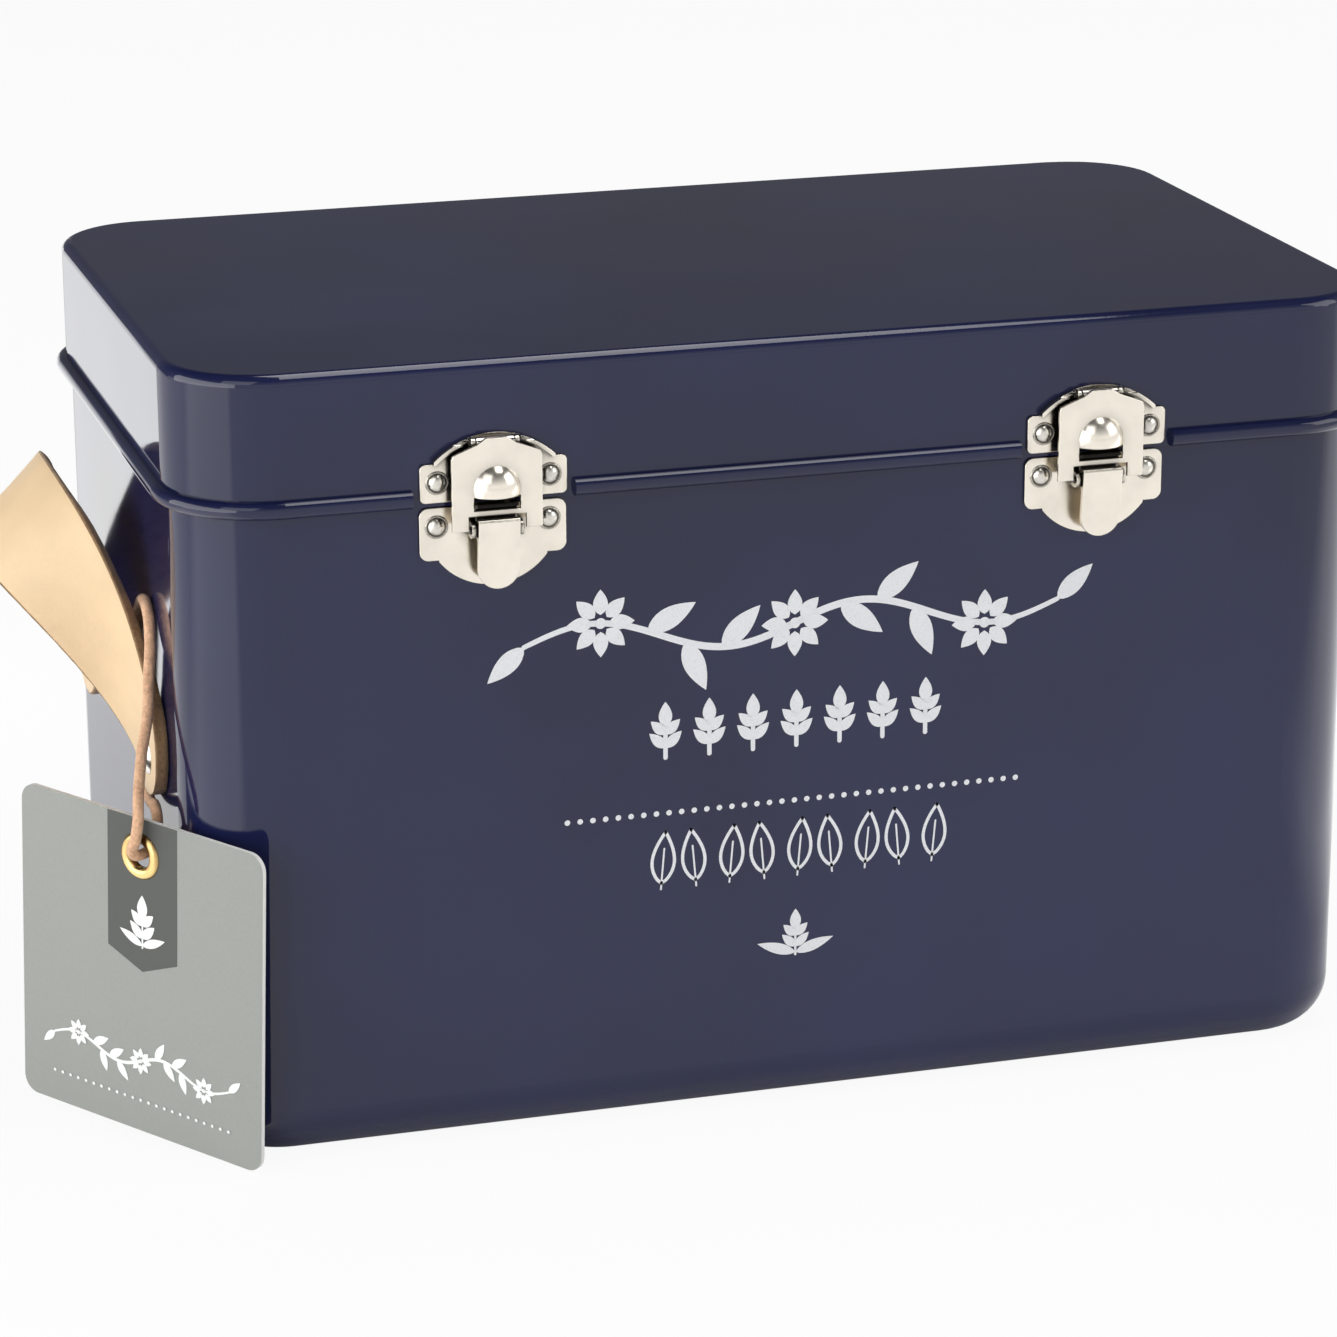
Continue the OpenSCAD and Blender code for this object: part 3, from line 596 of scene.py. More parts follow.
# The camera, fitted to the photograph
CAMERA_PLACE = Vector((-0.3124, -1.0258, 0.4222))
CAMERA_AZIMUTH = math.radians(16.56)
CAMERA_PITCH = math.radians(17.71)
CAMERA_ROLL = math.radians(-0.197)
PHOTO_SIDE_PX = 1337
FOCAL_PX = 4708
SENSOR_MM = 36.0


def build_camera():
    data = bpy.data.cameras.new("camera")
    data.sensor_width = SENSOR_MM
    data.lens = SENSOR_MM * FOCAL_PX / PHOTO_SIDE_PX
    data.clip_start = 0.05
    data.clip_end = 50.0
    camera = bpy.data.objects.new("camera", data)
    bpy.context.scene.collection.objects.link(camera)
    level = math.cos(CAMERA_PITCH)
    ahead = Vector(
        (math.sin(CAMERA_AZIMUTH) * level, math.cos(CAMERA_AZIMUTH) * level, -math.sin(CAMERA_PITCH))
    )
    right = Vector((math.cos(CAMERA_AZIMUTH), -math.sin(CAMERA_AZIMUTH), 0))
    up = right.cross(ahead)
    cos, sin = math.cos(CAMERA_ROLL), math.sin(CAMERA_ROLL)
    turned_right, turned_up = cos * right + sin * up, cos * up - sin * right
    axes = Matrix((turned_right, turned_up, -ahead)).transposed()
    camera.matrix_world = Matrix.Translation(CAMERA_PLACE) @ axes.to_4x4()
    bpy.context.scene.camera = camera


# Stage


def add_lamp(name, place, aim, sides, power):
    data = bpy.data.lights.new(name, "AREA")
    data.shape = "RECTANGLE"
    data.size, data.size_y = sides
    data.energy = power
    lamp = bpy.data.objects.new(name, data)
    bpy.context.scene.collection.objects.link(lamp)
    lamp.location = place
    lamp.rotation_euler = (Vector(aim) - Vector(place)).to_track_quat("-Z", "Y").to_euler()
    return lamp


def add_card(name, start, end, tall, glow):
    """A glowing card that stands on the floor from start to end, and faces to the right of that line."""
    start, end = Vector((*start, tall / 2)), Vector((*end, tall / 2))
    along = end - start
    place = (start + end) / 2
    facing = Vector((along.y, -along.x, 0))
    power = glow * math.pi * along.length * tall
    card = add_lamp(name, place, place + facing, (along.length, tall), power)
    card.visible_camera = False


# The share of even white in what the camera and gloss see of the floor. The rest is shaded.
CAMERA_SHARE, GLOSS_SHARE = 0.93, 0.6
# How bright gloss sees the floor, and the parts of it before the left corner and beside the right one. Gloss
# sees the floor glow brighter than white, and those parts brightest: painted light for the tin's walls to
# reflect.
PLAIN_FLOOR = (1.2, 1.2, 1.2)
GLOW_PATCH_FLOOR = (2.4, 2.4, 2.4)
# The painted glow patch on the left: how far it lies past the diagonal before the corner, and how far back it
# fades
LEFT_PAST, LEFT_FADE = (0.03, 0.09), (0.0, 0.10)
# The painted glow patch on the right: how far across it begins, and how far back
RIGHT_ACROSS, RIGHT_BACK = (0.20, 0.27), (-0.30, -0.15)
# How far from the tin's foot the painted shadow in the floor's glow reaches, in what gloss sees
FOOT_REACH = 35.0 * MM
FLOOR_HALF = 6.0
FLOOR_DROP = 0.2 * MM


def floor_finish(settings):
    finish = Finish("studio_floor", **{"Specular IOR Level": 0.0, "Roughness": 1.0})
    grain = finish.noise(3.0, 2.0)
    finish.set("Base Color", finish.blend(grain, settings.floor, shade(settings.floor, 1.01)))
    camera, gloss = finish.rays()
    # Painted shadow: near the tin's foot, by how close the tin stands, the floor's glow for gloss gives way
    # to its shaded surface.
    clear = 1 - finish.nooks(FOOT_REACH, 0.3, 1.0)
    even = finish.maths("MAXIMUM", camera * CAMERA_SHARE, gloss * clear * GLOSS_SHARE)
    across, back = finish.along("X"), finish.along("Y")
    left = finish.spread(back - across, *LEFT_PAST) * finish.spread(back, *LEFT_FADE, 1.0, 0.0)
    right = finish.spread(across, *RIGHT_ACROSS) * finish.spread(back, *RIGHT_BACK)
    # Painted light: in what gloss sees, patches of the floor glow brighter, so the tin's walls reflect a
    # bright glow there.
    glow_patches = finish.maths("MAXIMUM", left, right) * gloss
    plain = finish.blend(gloss, WHITE, PLAIN_FLOOR)
    tone = finish.blend(glow_patches, plain, GLOW_PATCH_FLOOR)
    white = finish.node("ShaderNodeEmission", {}, {"Color": tone, "Strength": 1.0})
    shown = finish.mix_shaders(even, finish.shader.outputs[0], white.outputs[0])
    finish.feed(finish.out.inputs["Surface"], shown)
    return finish.material


def build_floor(settings):
    mesh = bmesh.new()
    bmesh.ops.create_grid(mesh, x_segments=8, y_segments=8, size=FLOOR_HALF)
    floor = mesh_object("floor", mesh, [floor_finish(settings)])
    floor.location.z = -FLOOR_DROP


# Between which shares of the way to the back, and of the way up, the room darkens, and how dark it ends
BACK_DARK, BACK_END = (-0.2, 0.75), 0.17
TOP_DARK, TOP_END = (0.15, 0.75), 0.1


def build_world(settings):
    """A plain room: white where the camera sees it, and darker to the back and the top otherwise."""
    world = bpy.data.worlds.new("studio")
    bpy.context.scene.world = world
    world.use_nodes = True
    nodes = Nodes(world.node_tree)
    way = nodes.node("ShaderNodeTexCoord").outputs["Generated"]
    depth = nodes.spread(nodes.axis(way, "Y"), *BACK_DARK, 1.0, BACK_END)
    height = nodes.spread(nodes.axis(way, "Z"), *TOP_DARK, settings.room, TOP_END)
    camera, gloss = nodes.rays()
    lift = nodes.spread(gloss, 0.0, 1.0, 1.0, 1.0 / settings.room)
    room = nodes.node("ShaderNodeBackground", {}, {"Color": WHITE, "Strength": depth * height * lift})
    white = nodes.node("ShaderNodeBackground", {}, {"Color": WHITE, "Strength": 1.0})
    shown = nodes.mix_shaders(camera, room.outputs[0], white.outputs[0])
    nodes.node("ShaderNodeOutputWorld", {}, {"Surface": shown})


# Each soft box: its place and its size. All of them point at the middle of the tin.
KEY_BOX = ((-1.1, -1.3, 1.4), (1.2, 1.2))
FILL_BOX = ((1.5, -0.9, 1.0), (1.1, 1.1))
TOP_BOX = ((0.35, 0.05, 1.7), (1.8, 0.5))
# Each card: its two ends on the floor and its height
LEFT_CARD = ((-0.92, -1.10), (-0.92, 0.36), 0.62)
WALL_CARD = ((-0.2113, 0.2136), (-0.150, 0.330), 0.17)


def build_stage(settings):
    middle = (TIN_LOW + LID_HIGH) / 2
    build_floor(settings)
    build_world(settings)
    for name, (place, sides), power in (
        ("key_light", KEY_BOX, settings.key),
        ("fill_light", FILL_BOX, settings.fill),
        ("top_light", TOP_BOX, settings.top),
    ):
        add_lamp(name, place, middle, sides, power)
    add_card("left_card", *LEFT_CARD, settings.left_card)
    add_card("wall_card", *WALL_CARD, settings.wall_card)
    bpy.context.scene.view_settings.view_transform = "Standard"


# Straps


def bezier(points, t):
    a, b, c, d = points
    s = 1 - t
    return s**3 * a + 3 * s * s * t * b + 3 * s * t * t * c + t**3 * d


# How far each edge of the strap keeps its direction from its end and from the arch, and its bulge
NEAR_LEAVE, NEAR_ARRIVE, NEAR_BULGE = 31.3 * MM, 48.4 * MM, 0.5 * MM
FAR_LEAVE, FAR_ARRIVE, FAR_BULGE = 19.6 * MM, 38.4 * MM, 3.8 * MM
STRAP_GAP = 0.1 * MM
SHOULDER_Z = 149.2 * MM
# How many steps the round end and half of the arch are drawn in, and how many columns run across
END_STEPS, HALF_STEPS, COLUMNS = 14, 44, 14
# The turn of the round end's first row
END_TURN = math.radians(88)
# How rough the cut edges and the flesh side are
ROUGH_DEPTH = 0.16 * MM
# How deep the points of a worn edge lie, as shares of its radius
WORN_DEPTHS = (0.3, 0.75, 1.0)


def strap_rows(settings):
    """Rows of half of the left strap, from its end to the arch: near edge, far edge and outward way."""
    along = Vector((0, math.sin(settings.lean), math.cos(settings.lean)))
    across = Vector((0, math.cos(settings.lean), -math.sin(settings.lean)))
    stud_z = SHOULDER_Z - settings.stud_drop
    stud = Vector((LEFT_X - STRAP_GAP - settings.thickness, -settings.stud_spacing / 2, stud_z))
    root = stud + settings.stud_clear * along
    half = settings.width / 2
    arch_near = Vector((LEFT_X - settings.arch_reach, 0, stud_z + settings.arch_rise))
    droop = Vector((math.cos(settings.arch_droop), 0, math.sin(settings.arch_droop)))
    arch_far = arch_near - settings.width * droop
    start_near, start_far = root - half * across, root + half * across
    near = (
        start_near,
        start_near + NEAR_LEAVE * along - Vector((NEAR_BULGE, 0, 0)),
        arch_near - Vector((0, NEAR_ARRIVE, 0)),
        arch_near,
    )
    far = (
        start_far,
        start_far + FAR_LEAVE * along - Vector((FAR_BULGE, 0, 0)),
        arch_far - Vector((0, FAR_ARRIVE, 0)),
        arch_far,
    )
    flat = Vector((-1, 0, 0))
    rows = []
    for k in range(END_STEPS):
        turn = END_TURN * (1 - k / END_STEPS)
        centre = root - half * math.sin(turn) * along
        reach = half * math.cos(turn) * across
        rows.append((centre - reach, centre + reach, flat))
    for k in range(HALF_STEPS + 1):
        t = k / HALF_STEPS
        low, high = t - 0.01, t + 0.01
        ahead = bezier(near, high) + bezier(far, high) - bezier(near, low) - bezier(far, low)
        out = ahead.cross(bezier(far, t) - bezier(near, t)).normalized()
        rows.append((bezier(near, t), bezier(far, t), flat.lerp(out, min(1.0, t * 12)).normalized()))
    return rows


def worn_back(depth, worn):
    """How far a worn edge of a radius stands back at a depth."""
    return worn * (1 - math.sqrt(1 - (1 - depth) ** 2))


def strap_section(near, far, out, settings):
    """A closed loop round the strap: its smooth face, worn edges and flesh side.

    Each point goes with whether it is on the smooth face.
    """
    wide = (far - near).length
    side = (far - near).normalized()
    worn = min(settings.edge, wide / 3)
    thick = settings.thickness
    columns = [near + side * (worn + k / COLUMNS * (wide - 2 * worn)) for k in range(COLUMNS + 1)]
    loop = [(point, True) for point in columns]
    for depth in WORN_DEPTHS:
        loop.append((far - side * worn_back(depth, worn) - out * worn * depth, False))
    loop.append((far - out * thick * 0.6, False))
    loop.append((far - side * worn * 0.3 - out * (thick - worn * 0.5), False))
    loop += [(point - out * thick, False) for point in reversed(columns)]
    loop.append((near + side * worn * 0.3 - out * (thick - worn * 0.5), False))
    loop.append((near - out * thick * 0.6, False))
    for depth in reversed(WORN_DEPTHS):
        loop.append((near + side * worn_back(depth, worn) - out * worn * depth, False))
    return loop


def build_strap(name, node, settings, finishes, mirror):
    half_rows = strap_rows(settings)
    flip = Matrix.Diagonal((1, -1, 1))
    rows = half_rows + [tuple(flip @ part for part in row) for row in reversed(half_rows[:-1])]
    chance = random.Random(7)
    mesh = bmesh.new()
    rings = []
    for near, far, out in rows:
        rings.append([
            mesh.verts.new(point if smooth else point + out * chance.uniform(0.0, ROUGH_DEPTH))
            for point, smooth in strap_section(near, far, out, settings)
        ])
    size = len(rings[0])
    for low, high in zip(rings, rings[1:]):
        for k in range(size):
            face = mesh.faces.new((low[k], high[k], high[(k + 1) % size], low[(k + 1) % size]))
            face.material_index = 0 if k < COLUMNS else 1
    for ring in (rings[0], rings[-1]):
        mesh.faces.new(ring).material_index = 1
    if mirror:
        bmesh.ops.scale(mesh, vec=(-1, 1, 1), verts=mesh.verts)
    strap = mesh_object(name, mesh, finishes)
    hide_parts(node)
    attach(strap, "base")


# Print


# How far apart the layers of ink lie
INK_STEP = 0.008 * MM
# The first layers of strokes, of the round ends of strokes, of leaves, of petals and of what covers them
STROKES, ENDS, LEAVES, PETALS, CENTRES = 0, 3, 6, 9, 17


class Pen:
    """Draws flat shapes in a plane. Points are (across, up) in metres.

    Shapes that may cross lie in layers, a hair's breadth apart.
    """

    def __init__(self):
        self.mesh = bmesh.new()
        self.layer = STROKES
        self.drawn = 0

    def take(self, first, count=3):
        """Takes the next of the layers of one kind of shape."""
        self.drawn += 1
        self.layer = first + self.drawn % count

    def vertex(self, point):
        return self.mesh.verts.new((point[0], -self.layer * INK_STEP, point[1]))

    def fill(self, outline):
        self.mesh.faces.new([self.vertex(p) for p in outline])

    def stroke(self, line, width, taper=0.0):
        """A ribbon along a line, thinner by taper at its two ends."""
        self.take(STROKES)
        count = len(line)
        previous = None
        for i, point in enumerate(line):
            ahead = (line[min(i + 1, count - 1)] - line[max(i - 1, 0)]).normalized()
            side = Vector((-ahead.y, ahead.x))
            share = i / (count - 1)
            half = width / 2 * (1 - taper * abs(2 * share - 1) ** 2)
            pair = (self.vertex(point + side * half), self.vertex(point - side * half))
            if previous:
                self.mesh.faces.new((previous[0], previous[1], pair[1], pair[0]))
            previous = pair
        for end in (line[0], line[-1]):
            self.take(ENDS)
            self.dot(end, width / 2 * (1 - taper))

    def dot(self, centre, radius, sides=20):
        self.fill([centre + radius * direction(2 * math.pi * k / sides) for k in range(sides)])

    def leaf(self, stem, angle, long, wide, first=LEAVES, count=3):
        """A pointed leaf from its stem."""
        self.take(first, count)
        along, side = direction(angle), direction(angle + math.pi / 2)
        upper = [stem + along * long * t + side * wide / 2 * leaf_width(t) for t in spaced(12)]
        lower = [stem + along * long * t - side * wide / 2 * leaf_width(t) for t in spaced(12)]
        self.fill(upper + lower[-2:0:-1])

    def leaf_outline(self, stem, angle, long, wide, width):
        along, side = direction(angle), direction(angle + math.pi / 2)
        for sign in (-1, 1):
            self.stroke(
                [stem + along * long * t + side * sign * wide / 2 * leaf_width(t) for t in spaced(16)], width
            )
        self.stroke([stem - along * long * 0.12, stem + along * long * 0.68], width * 0.8, 0.3)

    def flower(self, centre, radius, petals):
        for k in range(petals):
            turn = 2 * math.pi * k / petals
            foot = centre + radius * 0.25 * direction(turn)
            self.leaf(foot, turn, radius * 0.75, radius * 0.44, PETALS, petals)
        self.layer = CENTRES
        self.dot(centre, radius * 0.16)

    def finish(self, name, place, material, body):
        """Turns the drawing into a piece that rides on a body."""
        bmesh.ops.transform(self.mesh, matrix=place, verts=self.mesh.verts)
        drawn = mesh_object(name, self.mesh, [material], smooth=False)
        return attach(drawn, body)


def direction(angle):
    return Vector((math.cos(angle), math.sin(angle)))


def spaced(count):
    return [k / (count - 1) for k in range(count)]


def leaf_width(t):
    return math.sin(math.pi * t**0.8) ** 0.9 if 0 < t < 1 else 0.0


# How often a vine waves, and where its flowers stand along it
VINE_WAVES = 2.0
FLOWER_PLACES = (0.14, 0.5, 0.86)


def vine(pen, low, high, level, swing, width, leaf):
    """A waving stem from low to high, with flowers on it, leaves between them and one at each end."""

    def point(t):
        return Vector((low + (high - low) * t, level + swing * math.sin(2 * math.pi * VINE_WAVES * t)))

    def way(t):
        ahead = point(t + 0.005) - point(t - 0.005)
        return math.atan2(ahead.y, ahead.x)

    pen.stroke([point(t) for t in spaced(90)], width, 0.35)
    long = leaf / (high - low)
    side = 1
    for start, end in zip(FLOWER_PLACES, FLOWER_PLACES[1:]):
        first, last = start + 0.85 * long, end - 1.35 * long
        count = max(1, round((last - first) / (0.55 * long)) + 1)
        for k in range(count):
            t = first + (last - first) * k / max(1, count - 1)
            pen.leaf(point(t), way(t) + side * math.radians(48), leaf, leaf * 0.4)
            side = -side
    for t, turn in ((0.0, math.pi), (1.0, 0.0)):
        pen.leaf(point(t), way(t) + turn + math.radians(20), leaf * 0.9, leaf * 0.36)
    for at in FLOWER_PLACES:
        pen.flower(point(at), leaf * 0.62, 8)


def sprig(pen, foot, tall, width):
    """An upright sprig: a stem, paired leaves and one at the top."""
    pen.stroke([foot, foot + Vector((0, tall * 0.6))], width, 0.2)
    pen.leaf(foot + Vector((0, tall * 0.55)), math.pi / 2, tall * 0.45, tall * 0.24)
    for share, long in ((0.18, 0.40), (0.42, 0.36)):
        stem = foot + Vector((0, tall * share))
        for side in (-1, 1):
            pen.leaf(stem, math.pi / 2 - side * math.radians(46), tall * long, tall * 0.19)


def emblem(pen, foot, tall, width, leaf, lean):
    """A sprig with one more leaf spread on each side of its foot."""
    sprig(pen, foot, tall, width)
    stem = foot + Vector((0, 0.5 * MM))
    long, wide = leaf
    for side in (-1, 1):
        pen.leaf(stem, math.pi / 2 - side * lean, long, wide)


def dotted_line(pen, low, high, level, dots, radius, sides=20):
    for k in range(dots):
        pen.dot(Vector((low + (high - low) * k / (dots - 1), level)), radius, sides)


# Where the print stands on the front: each row's left end, right end, foot and top, or the dots' level
VINE_ROW = (-64 * MM, 60 * MM, 104 * MM, 126 * MM)
SPRIG_ROW = (-37 * MM, 34 * MM, 86.5 * MM, 99.5 * MM)
DOT_ROW = (-54.6 * MM, 50.8 * MM, 73.5 * MM)
LEAF_ROW = (-37 * MM, 35 * MM, 55.5 * MM, 69.5 * MM)
# The emblem below the rows: its place across, its foot, its height, and the size of its spread leaves
EMBLEM = (-1.5 * MM, 36.5 * MM, 11 * MM)
EMBLEM_LEAF = (9.5 * MM, 2.6 * MM)
# The vine's swing, the width of its stem and the length of its leaves
VINE_SIZE = (4.0 * MM, 1.7 * MM, 12.5 * MM)
# How many sprigs and leaves stand in their rows, and the leaves' lean and width
SPRIGS, ROW_LEAVES = 7, 9
ROW_LEAF_LEAN, ROW_LEAF_WIDE = math.radians(5), 5.2 * MM


def build_print(settings):
    pen = Pen()
    low, high, foot, top = VINE_ROW
    vine(pen, low, high, (foot + top) / 2, *VINE_SIZE)
    low, high, foot, top = SPRIG_ROW
    for k in range(SPRIGS):
        sprig(pen, Vector((low + (high - low) * (k + 0.5) / SPRIGS, foot)), top - foot, 1.3 * MM)
    dotted_line(pen, *DOT_ROW, settings.dots, settings.dot_radius)
    low, high, foot, top = LEAF_ROW
    for k in range(ROW_LEAVES):
        stem = Vector((low + (high - low) * (k + 0.5) / ROW_LEAVES, foot + 1.5 * MM))
        lean = ROW_LEAF_LEAN if k % 2 else -ROW_LEAF_LEAN
        pen.leaf_outline(stem, math.pi / 2 + lean, top - foot - 2 * MM, ROW_LEAF_WIDE, 0.75 * MM)
    across, foot, tall = EMBLEM
    emblem(pen, Vector((across, foot)), tall, 0.7 * MM, EMBLEM_LEAF, math.radians(72))
    place = Matrix.Translation((0, FRONT_Y - settings.lift, 0))
    ink = ink_finish("print_ink", settings.ink)
    drawn = pen.finish("front_print", place, ink, "base")


# Tag

# The tag's top edge stands this high over the middle of its eyelet, and its print is a little off that middle
TAG_TOP = 8.8 * MM
TAG_OFF = 0.6 * MM
# The hole that the band leaves for the eyelet, and its distance from the tag's top edge
BAND_HOLE = 3.4 * MM
BAND_GAP = 0.1 * MM
# How far below the tag's top edge the print stands
TAG_EMBLEM_DROP, TAG_VINE_DROP, TAG_DOTS_DROP = 30.5 * MM, 58 * MM, 67.5 * MM
TAG_EMBLEM_LEAF = (7.2 * MM, 2.1 * MM)
TAG_VINE_SIZE = (1.8 * MM, 0.8 * MM, 5.2 * MM)
TAG_ROW_HALF = 26 * MM
TAG_DOTS = 23


def build_tag(settings, metal):
    face_way = TAG_PLACE.to_3x3() @ Vector((0, -1, 0))
    dress("tag_card", card_finish("tag_board", settings.board, 0.62, 0.05, face_way))
    dress("tag_eyelet", metal_finish("eyelet_brass", metal.brass, 0.14, metal.edge, 0.35))
    face = TAG_THICK / 2
    build_pennant(settings, TAG_PLACE @ Matrix.Translation((0, -face - 0.03 * MM, 0)))
    pen = Pen()
    emblem_foot = Vector((TAG_OFF, TAG_TOP - TAG_EMBLEM_DROP))
    emblem(pen, emblem_foot, 12.5 * MM, 0.6 * MM, TAG_EMBLEM_LEAF, math.radians(68))
    low, high = -TAG_ROW_HALF, TAG_ROW_HALF
    vine(pen, low, high, TAG_TOP - TAG_VINE_DROP, *TAG_VINE_SIZE)
    dotted_line(pen, low, high, TAG_TOP - TAG_DOTS_DROP, TAG_DOTS, 0.4 * MM, 12)
    ink = ink_finish("tag_ink", settings.ink, 0.45)
    place = TAG_PLACE @ Matrix.Translation((0, -face - 0.06 * MM, 0))
    pen.finish("tag_print", place, ink, "tag")


def build_pennant(settings, place):
    """The dark band that hangs from the tag's top edge, round its eyelet."""
    pen = Pen()
    left, right = TAG_OFF - settings.pennant_width / 2, TAG_OFF + settings.pennant_width / 2
    top, side, tip = TAG_TOP - BAND_GAP, TAG_TOP - settings.pennant_side, TAG_TOP - settings.pennant_tip
    corners = ((left, top), (right, top), (right, side), (TAG_OFF, tip), (left, side))
    ring_with_outline(pen, [Vector(corner) for corner in corners], BAND_HOLE)
    dark = card_finish("pennant_ink", settings.pennant, 0.55, 0.05)
    pen.finish("tag_pennant", place, dark, "tag")


def ring_with_outline(pen, outline, hole):
    """Fills an outline but for a round hole about the origin."""
    even = [math.pi * (2 * k / 32 - 1) for k in range(32)]
    rays = [direction(a) for a in sorted(even + [math.atan2(corner.y, corner.x) for corner in outline])]
    inner = [pen.vertex(hole * ray) for ray in rays]
    outer = [pen.vertex(meet_outline(ray, outline)) for ray in rays]
    for k in range(len(rays)):
        n = (k + 1) % len(rays)
        pen.mesh.faces.new((inner[k], inner[n], outer[n], outer[k]))


def meet_outline(ray, outline):
    """Where a ray from the origin meets an outline."""
    best = None
    for a, b in zip(outline, outline[1:] + outline[:1]):
        edge = b - a
        det = ray.x * -edge.y + edge.x * ray.y
        if abs(det) < 1e-12:
            continue
        t = (a.x * -edge.y + edge.x * a.y) / det
        s = (ray.x * a.y - ray.y * a.x) / det
        if t > 0 and -1e-9 <= s <= 1 + 1e-9 and (best is None or t < best):
            best = t
    return ray * best


# Operators


# How far a lever's nose reaches above its thumb plate
NOSE_TALL = 3.4 * MM
# How far the crown of a latch rivet stands off its seat
HEAD_RISE = 1.15 * MM
# The section of the ring round a rivet: distances out as shares of the head's radius, and heights
COLLAR_SECTION = ((1.02, 0.0), (1.08, 0.15 * MM), (1.16, 0.22 * MM), (1.24, 0.15 * MM), (1.30, 0.0))
COLLAR_SIDES = 28


class SEEDTIN_OT_camera(bpy.types.Operator):
    """Place the camera where the photograph was taken"""

    bl_idname = "seed_tin.camera"
    bl_label = "Camera"

    def execute(self, context):
        build_camera()
        return {"FINISHED"}


class SEEDTIN_OT_cord(bpy.types.Operator):
    """Hang the suede cord and its knot"""

    bl_idname = "seed_tin.cord"
    bl_label = "Tag cord"

    def execute(self, context):
        build_cord(context.scene.seed_tin_cord)
        return {"FINISHED"}


class SEEDTIN_OT_stage(bpy.types.Operator):
    """Lay the floor and set the lights"""

    bl_idname = "seed_tin.stage"
    bl_label = "Stage"

    def execute(self, context):
        build_stage(context.scene.seed_tin_stage)
        return {"FINISHED"}


class SEEDTIN_OT_tin(bpy.types.Operator):
    """Enamel the tin, its lid and the partition inside"""

    bl_idname = "seed_tin.tin"
    bl_label = "Enamelled tin"

    def execute(self, context):
        enamel = enamel_finish(context.scene.seed_tin_enamel)
        dress_all(("base_tin", "lid", "centre_partition"), enamel)
        return {"FINISHED"}


class SEEDTIN_OT_latches(bpy.types.Operator):
    """Plate the latches, their pins, springs and rivets"""

    bl_idname = "seed_tin.latches"
    bl_label = "Latches"

    def execute(self, context):
        metal = context.scene.seed_tin_metal
        nickel = metal_finish("latch_nickel", metal.nickel, 0.13, metal.edge)
        steel = metal_finish("rivet_steel", metal.steel, 0.20, metal.edge)
        # Painted shade: pins and springs sit in the shaded slots of the latch, so their steel is painted
        # dark, at 0.3 of the steel colour.
        spring = metal_finish("spring_steel", shade(metal.steel, 0.30), 0.30, metal.edge)
        # Painted shade: the lever's nose reaches up into the shaded slot under the hood, so the lever is
        # darkened above the nose's foot.
        nose_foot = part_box("latch_left_lever")[1].z - NOSE_TALL
        lever = metal_finish("lever_nickel", metal.nickel, 0.13, metal.edge, painted_shade_above=nose_foot)
        dress_all(nodes_named("latch_"), nickel)
        dress_all(nodes_named("latch_", "_lever"), lever)
        dress_all(nodes_named("latch_", "_pin"), spring)
        dress_all(nodes_named("latch_", "_rivets"), steel)
        dress_all(nodes_named("latch_", "_spring"), spring)
        build_collars("latch_base_collars", "latch_base_rivets", "base", nickel)
        build_collars("latch_lid_collars", "latch_lid_rivets", "lid", nickel)
        return {"FINISHED"}


def build_collars(name, node, body, finish):
    """The raised ring that riveting leaves round each head of a node of rivets."""
    mesh = bmesh.new()
    for low, high in head_boxes(node):
        centre = Vector(((low.x + high.x) / 2, low.y, (low.z + high.z) / 2))
        radius = (high.x - low.x) / 2
        rings = []
        for out, rise in COLLAR_SECTION:
            rings.append([
                mesh.verts.new(centre + Vector((radius * out * ray.x, -rise, radius * out * ray.y)))
                for ray in (direction(2 * math.pi * k / COLLAR_SIDES) for k in range(COLLAR_SIDES))
            ])
        for inner, outer in zip(rings, rings[1:]):
            for k in range(COLLAR_SIDES):
                n = (k + 1) % COLLAR_SIDES
                mesh.faces.new((inner[k], inner[n], outer[n], outer[k]))
    collars = mesh_object(name, mesh, [finish])
    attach(collars, body)


def head_boxes(node):
    """The box of each rivet head of a node, from the seat of the head to its crown, from left to right."""
    mesh = bmesh.new()
    mesh.from_mesh(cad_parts[node].data)
    left = set(mesh.verts)
    boxes = []
    while left:
        found, front = set(), [left.pop()]
        while front:
            vert = front.pop()
            found.add(vert)
            for edge in vert.link_edges:
                other = edge.other_vert(vert)
                if other in left:
                    left.discard(other)
                    front.append(other)
        crown = min(v.co.y for v in found)
        head = [v.co for v in found if v.co.y < crown + HEAD_RISE]
        boxes.append((
            Vector((min(c.x for c in head), max(c.y for c in head), min(c.z for c in head))),
            Vector((max(c.x for c in head), crown, max(c.z for c in head))),
        ))
    mesh.free()
    return sorted(boxes, key=lambda box: tuple(box[0]))


class SEEDTIN_OT_hinges(bpy.types.Operator):
    """Plate the hinges at the back"""

    bl_idname = "seed_tin.hinges"
    bl_label = "Hinges"

    def execute(self, context):
        metal = context.scene.seed_tin_metal
        plate = metal_finish("hinge_nickel", metal.nickel, 0.17, metal.edge)
        steel = metal_finish("hinge_steel", metal.steel, 0.22, metal.edge)
        dress_all(nodes_named("hinge_"), plate)
        dress_all(nodes_named("hinge_", "_pin"), steel)
        dress_all(nodes_named("hinge_", "_rivets"), steel)
        return {"FINISHED"}


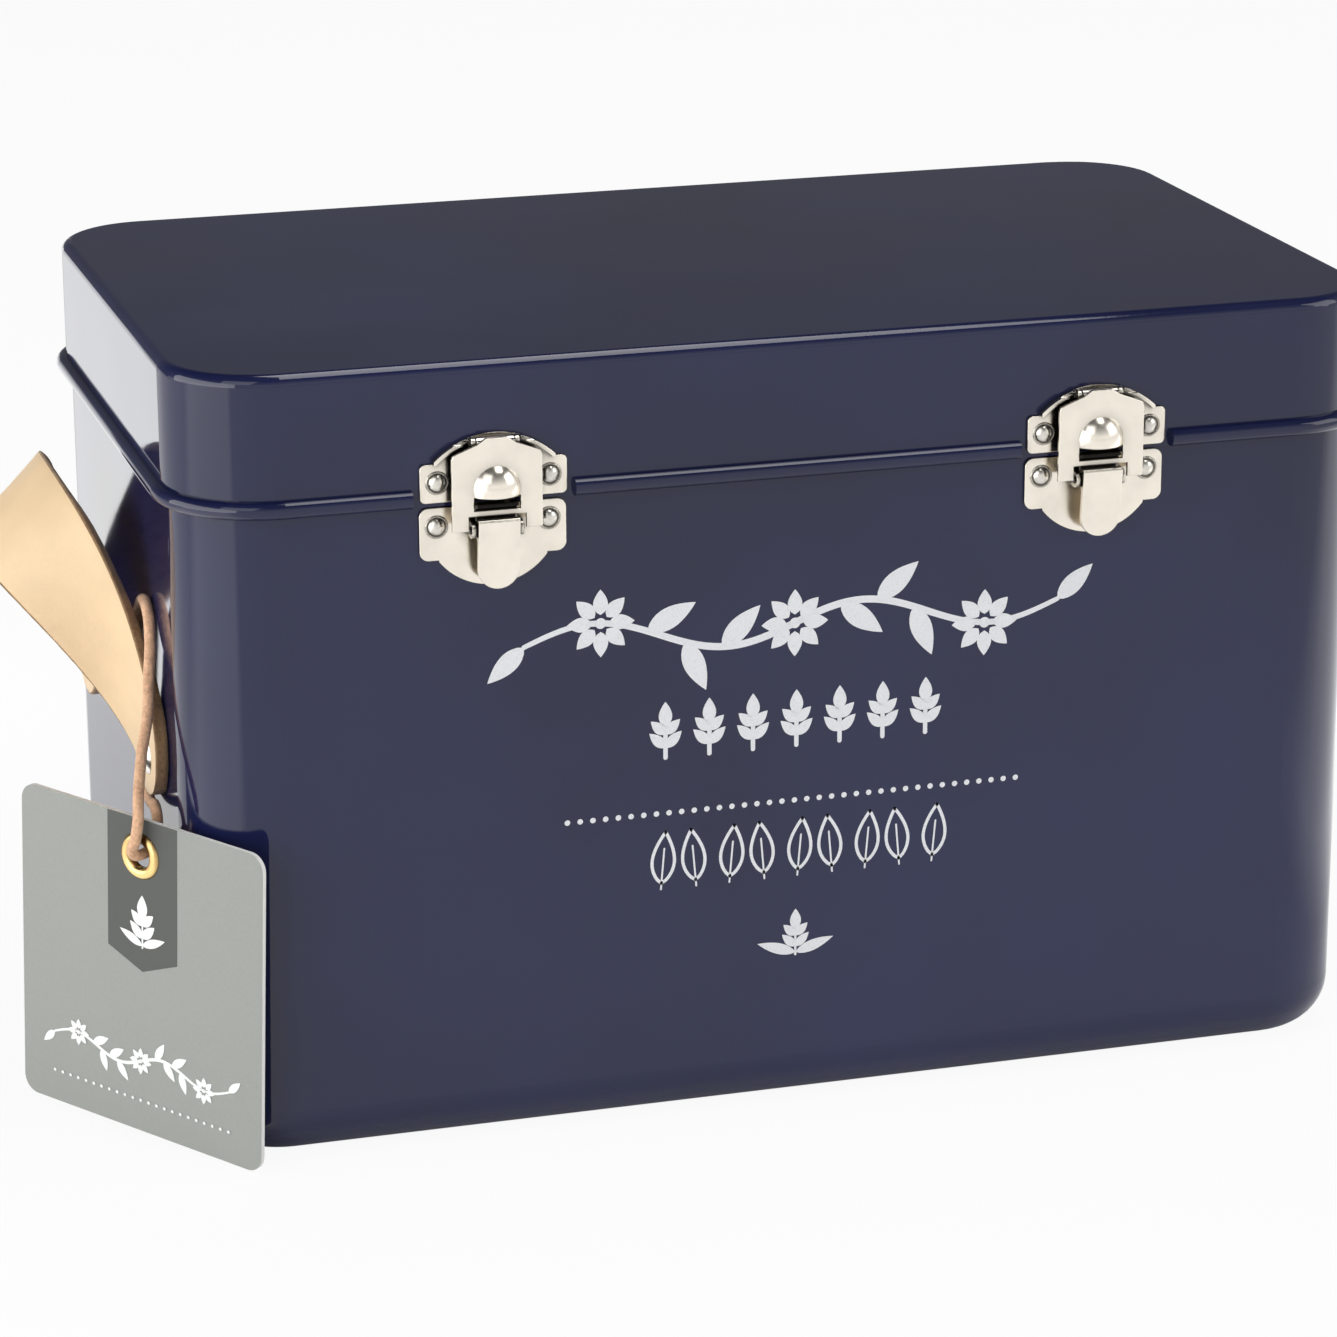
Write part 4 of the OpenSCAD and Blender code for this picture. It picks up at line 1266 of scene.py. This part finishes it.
class SEEDTIN_OT_handles(bpy.types.Operator):
    """Make the leather strap handles and finish their studs"""

    bl_idname = "seed_tin.handles"
    bl_label = "Strap handles"

    def execute(self, context):
        settings = context.scene.seed_tin_strap
        finishes = [leather_finish(settings), suede_finish("strap_flesh", settings.flesh, 1300.0, 0.0002)]
        build_strap("left_strap", "left_handle_strap", settings, finishes, False)
        build_strap("right_strap", "right_handle_strap", settings, finishes, True)
        metal = context.scene.seed_tin_metal
        dress("handle_studs", metal_finish("stud_metal", metal.steel, 0.16, metal.edge))
        return {"FINISHED"}


class SEEDTIN_OT_print(bpy.types.Operator):
    """Print the leaf ornament on the front"""

    bl_idname = "seed_tin.front_print"
    bl_label = "Front print"

    def execute(self, context):
        build_print(context.scene.seed_tin_print)
        return {"FINISHED"}


class SEEDTIN_OT_tag(bpy.types.Operator):
    """Finish the swing tag, its eyelet and its print"""

    bl_idname = "seed_tin.tag"
    bl_label = "Swing tag"

    def execute(self, context):
        build_tag(context.scene.seed_tin_tag, context.scene.seed_tin_metal)
        return {"FINISHED"}


CARD_TINTS = ((0.74, 0.62, 0.45), (0.80, 0.74, 0.60), (0.62, 0.66, 0.52))


class SEEDTIN_OT_cards(bpy.types.Operator):
    """Finish the divider cards inside"""

    bl_idname = "seed_tin.cards"
    bl_label = "Divider cards"

    def execute(self, context):
        stocks = [card_finish(f"card_stock_{k + 1}", tint, 0.8, 0.08) for k, tint in enumerate(CARD_TINTS)]
        for k, node in enumerate(nodes_named("divider_card_")):
            dress(node, stocks[k % len(stocks)])
        return {"FINISHED"}


class SEEDTIN_PT_panel(bpy.types.Panel):
    """Lists the pieces of the tin and their settings"""

    bl_label = "Seed Tin"
    bl_idname = "SEEDTIN_PT_panel"
    bl_space_type = "VIEW_3D"
    bl_region_type = "UI"
    bl_category = "Seed Tin"

    def draw(self, context):
        for step in STEPS:
            self.layout.operator(step.bl_idname)
        for name, group in GROUPS.items():
            box = self.layout.box()
            box.label(text=group.__name__.replace("Settings", ""))
            for setting in group.__annotations__:
                box.prop(getattr(context.scene, name), setting)


STEPS = (
    SEEDTIN_OT_camera,
    SEEDTIN_OT_cord,
    SEEDTIN_OT_stage,
    SEEDTIN_OT_tin,
    SEEDTIN_OT_latches,
    SEEDTIN_OT_hinges,
    SEEDTIN_OT_handles,
    SEEDTIN_OT_print,
    SEEDTIN_OT_tag,
    SEEDTIN_OT_cards,
)


def register():
    for name, group in GROUPS.items():
        bpy.utils.register_class(group)
        setattr(bpy.types.Scene, name, PointerProperty(type=group))
    for cls in (*STEPS, SEEDTIN_PT_panel):
        bpy.utils.register_class(cls)


def unregister():
    for cls in reversed((*STEPS, SEEDTIN_PT_panel)):
        bpy.utils.unregister_class(cls)
    for name, group in reversed(GROUPS.items()):
        delattr(bpy.types.Scene, name)
        bpy.utils.unregister_class(group)


def main():
    register()
    bpy.ops.seed_tin.camera()
    bpy.ops.seed_tin.cord()
    bpy.ops.seed_tin.stage()
    bpy.ops.seed_tin.tin()
    bpy.ops.seed_tin.latches()
    bpy.ops.seed_tin.hinges()
    bpy.ops.seed_tin.handles()
    bpy.ops.seed_tin.front_print()
    bpy.ops.seed_tin.tag()
    bpy.ops.seed_tin.cards()


if __name__ == "__main__":
    main()
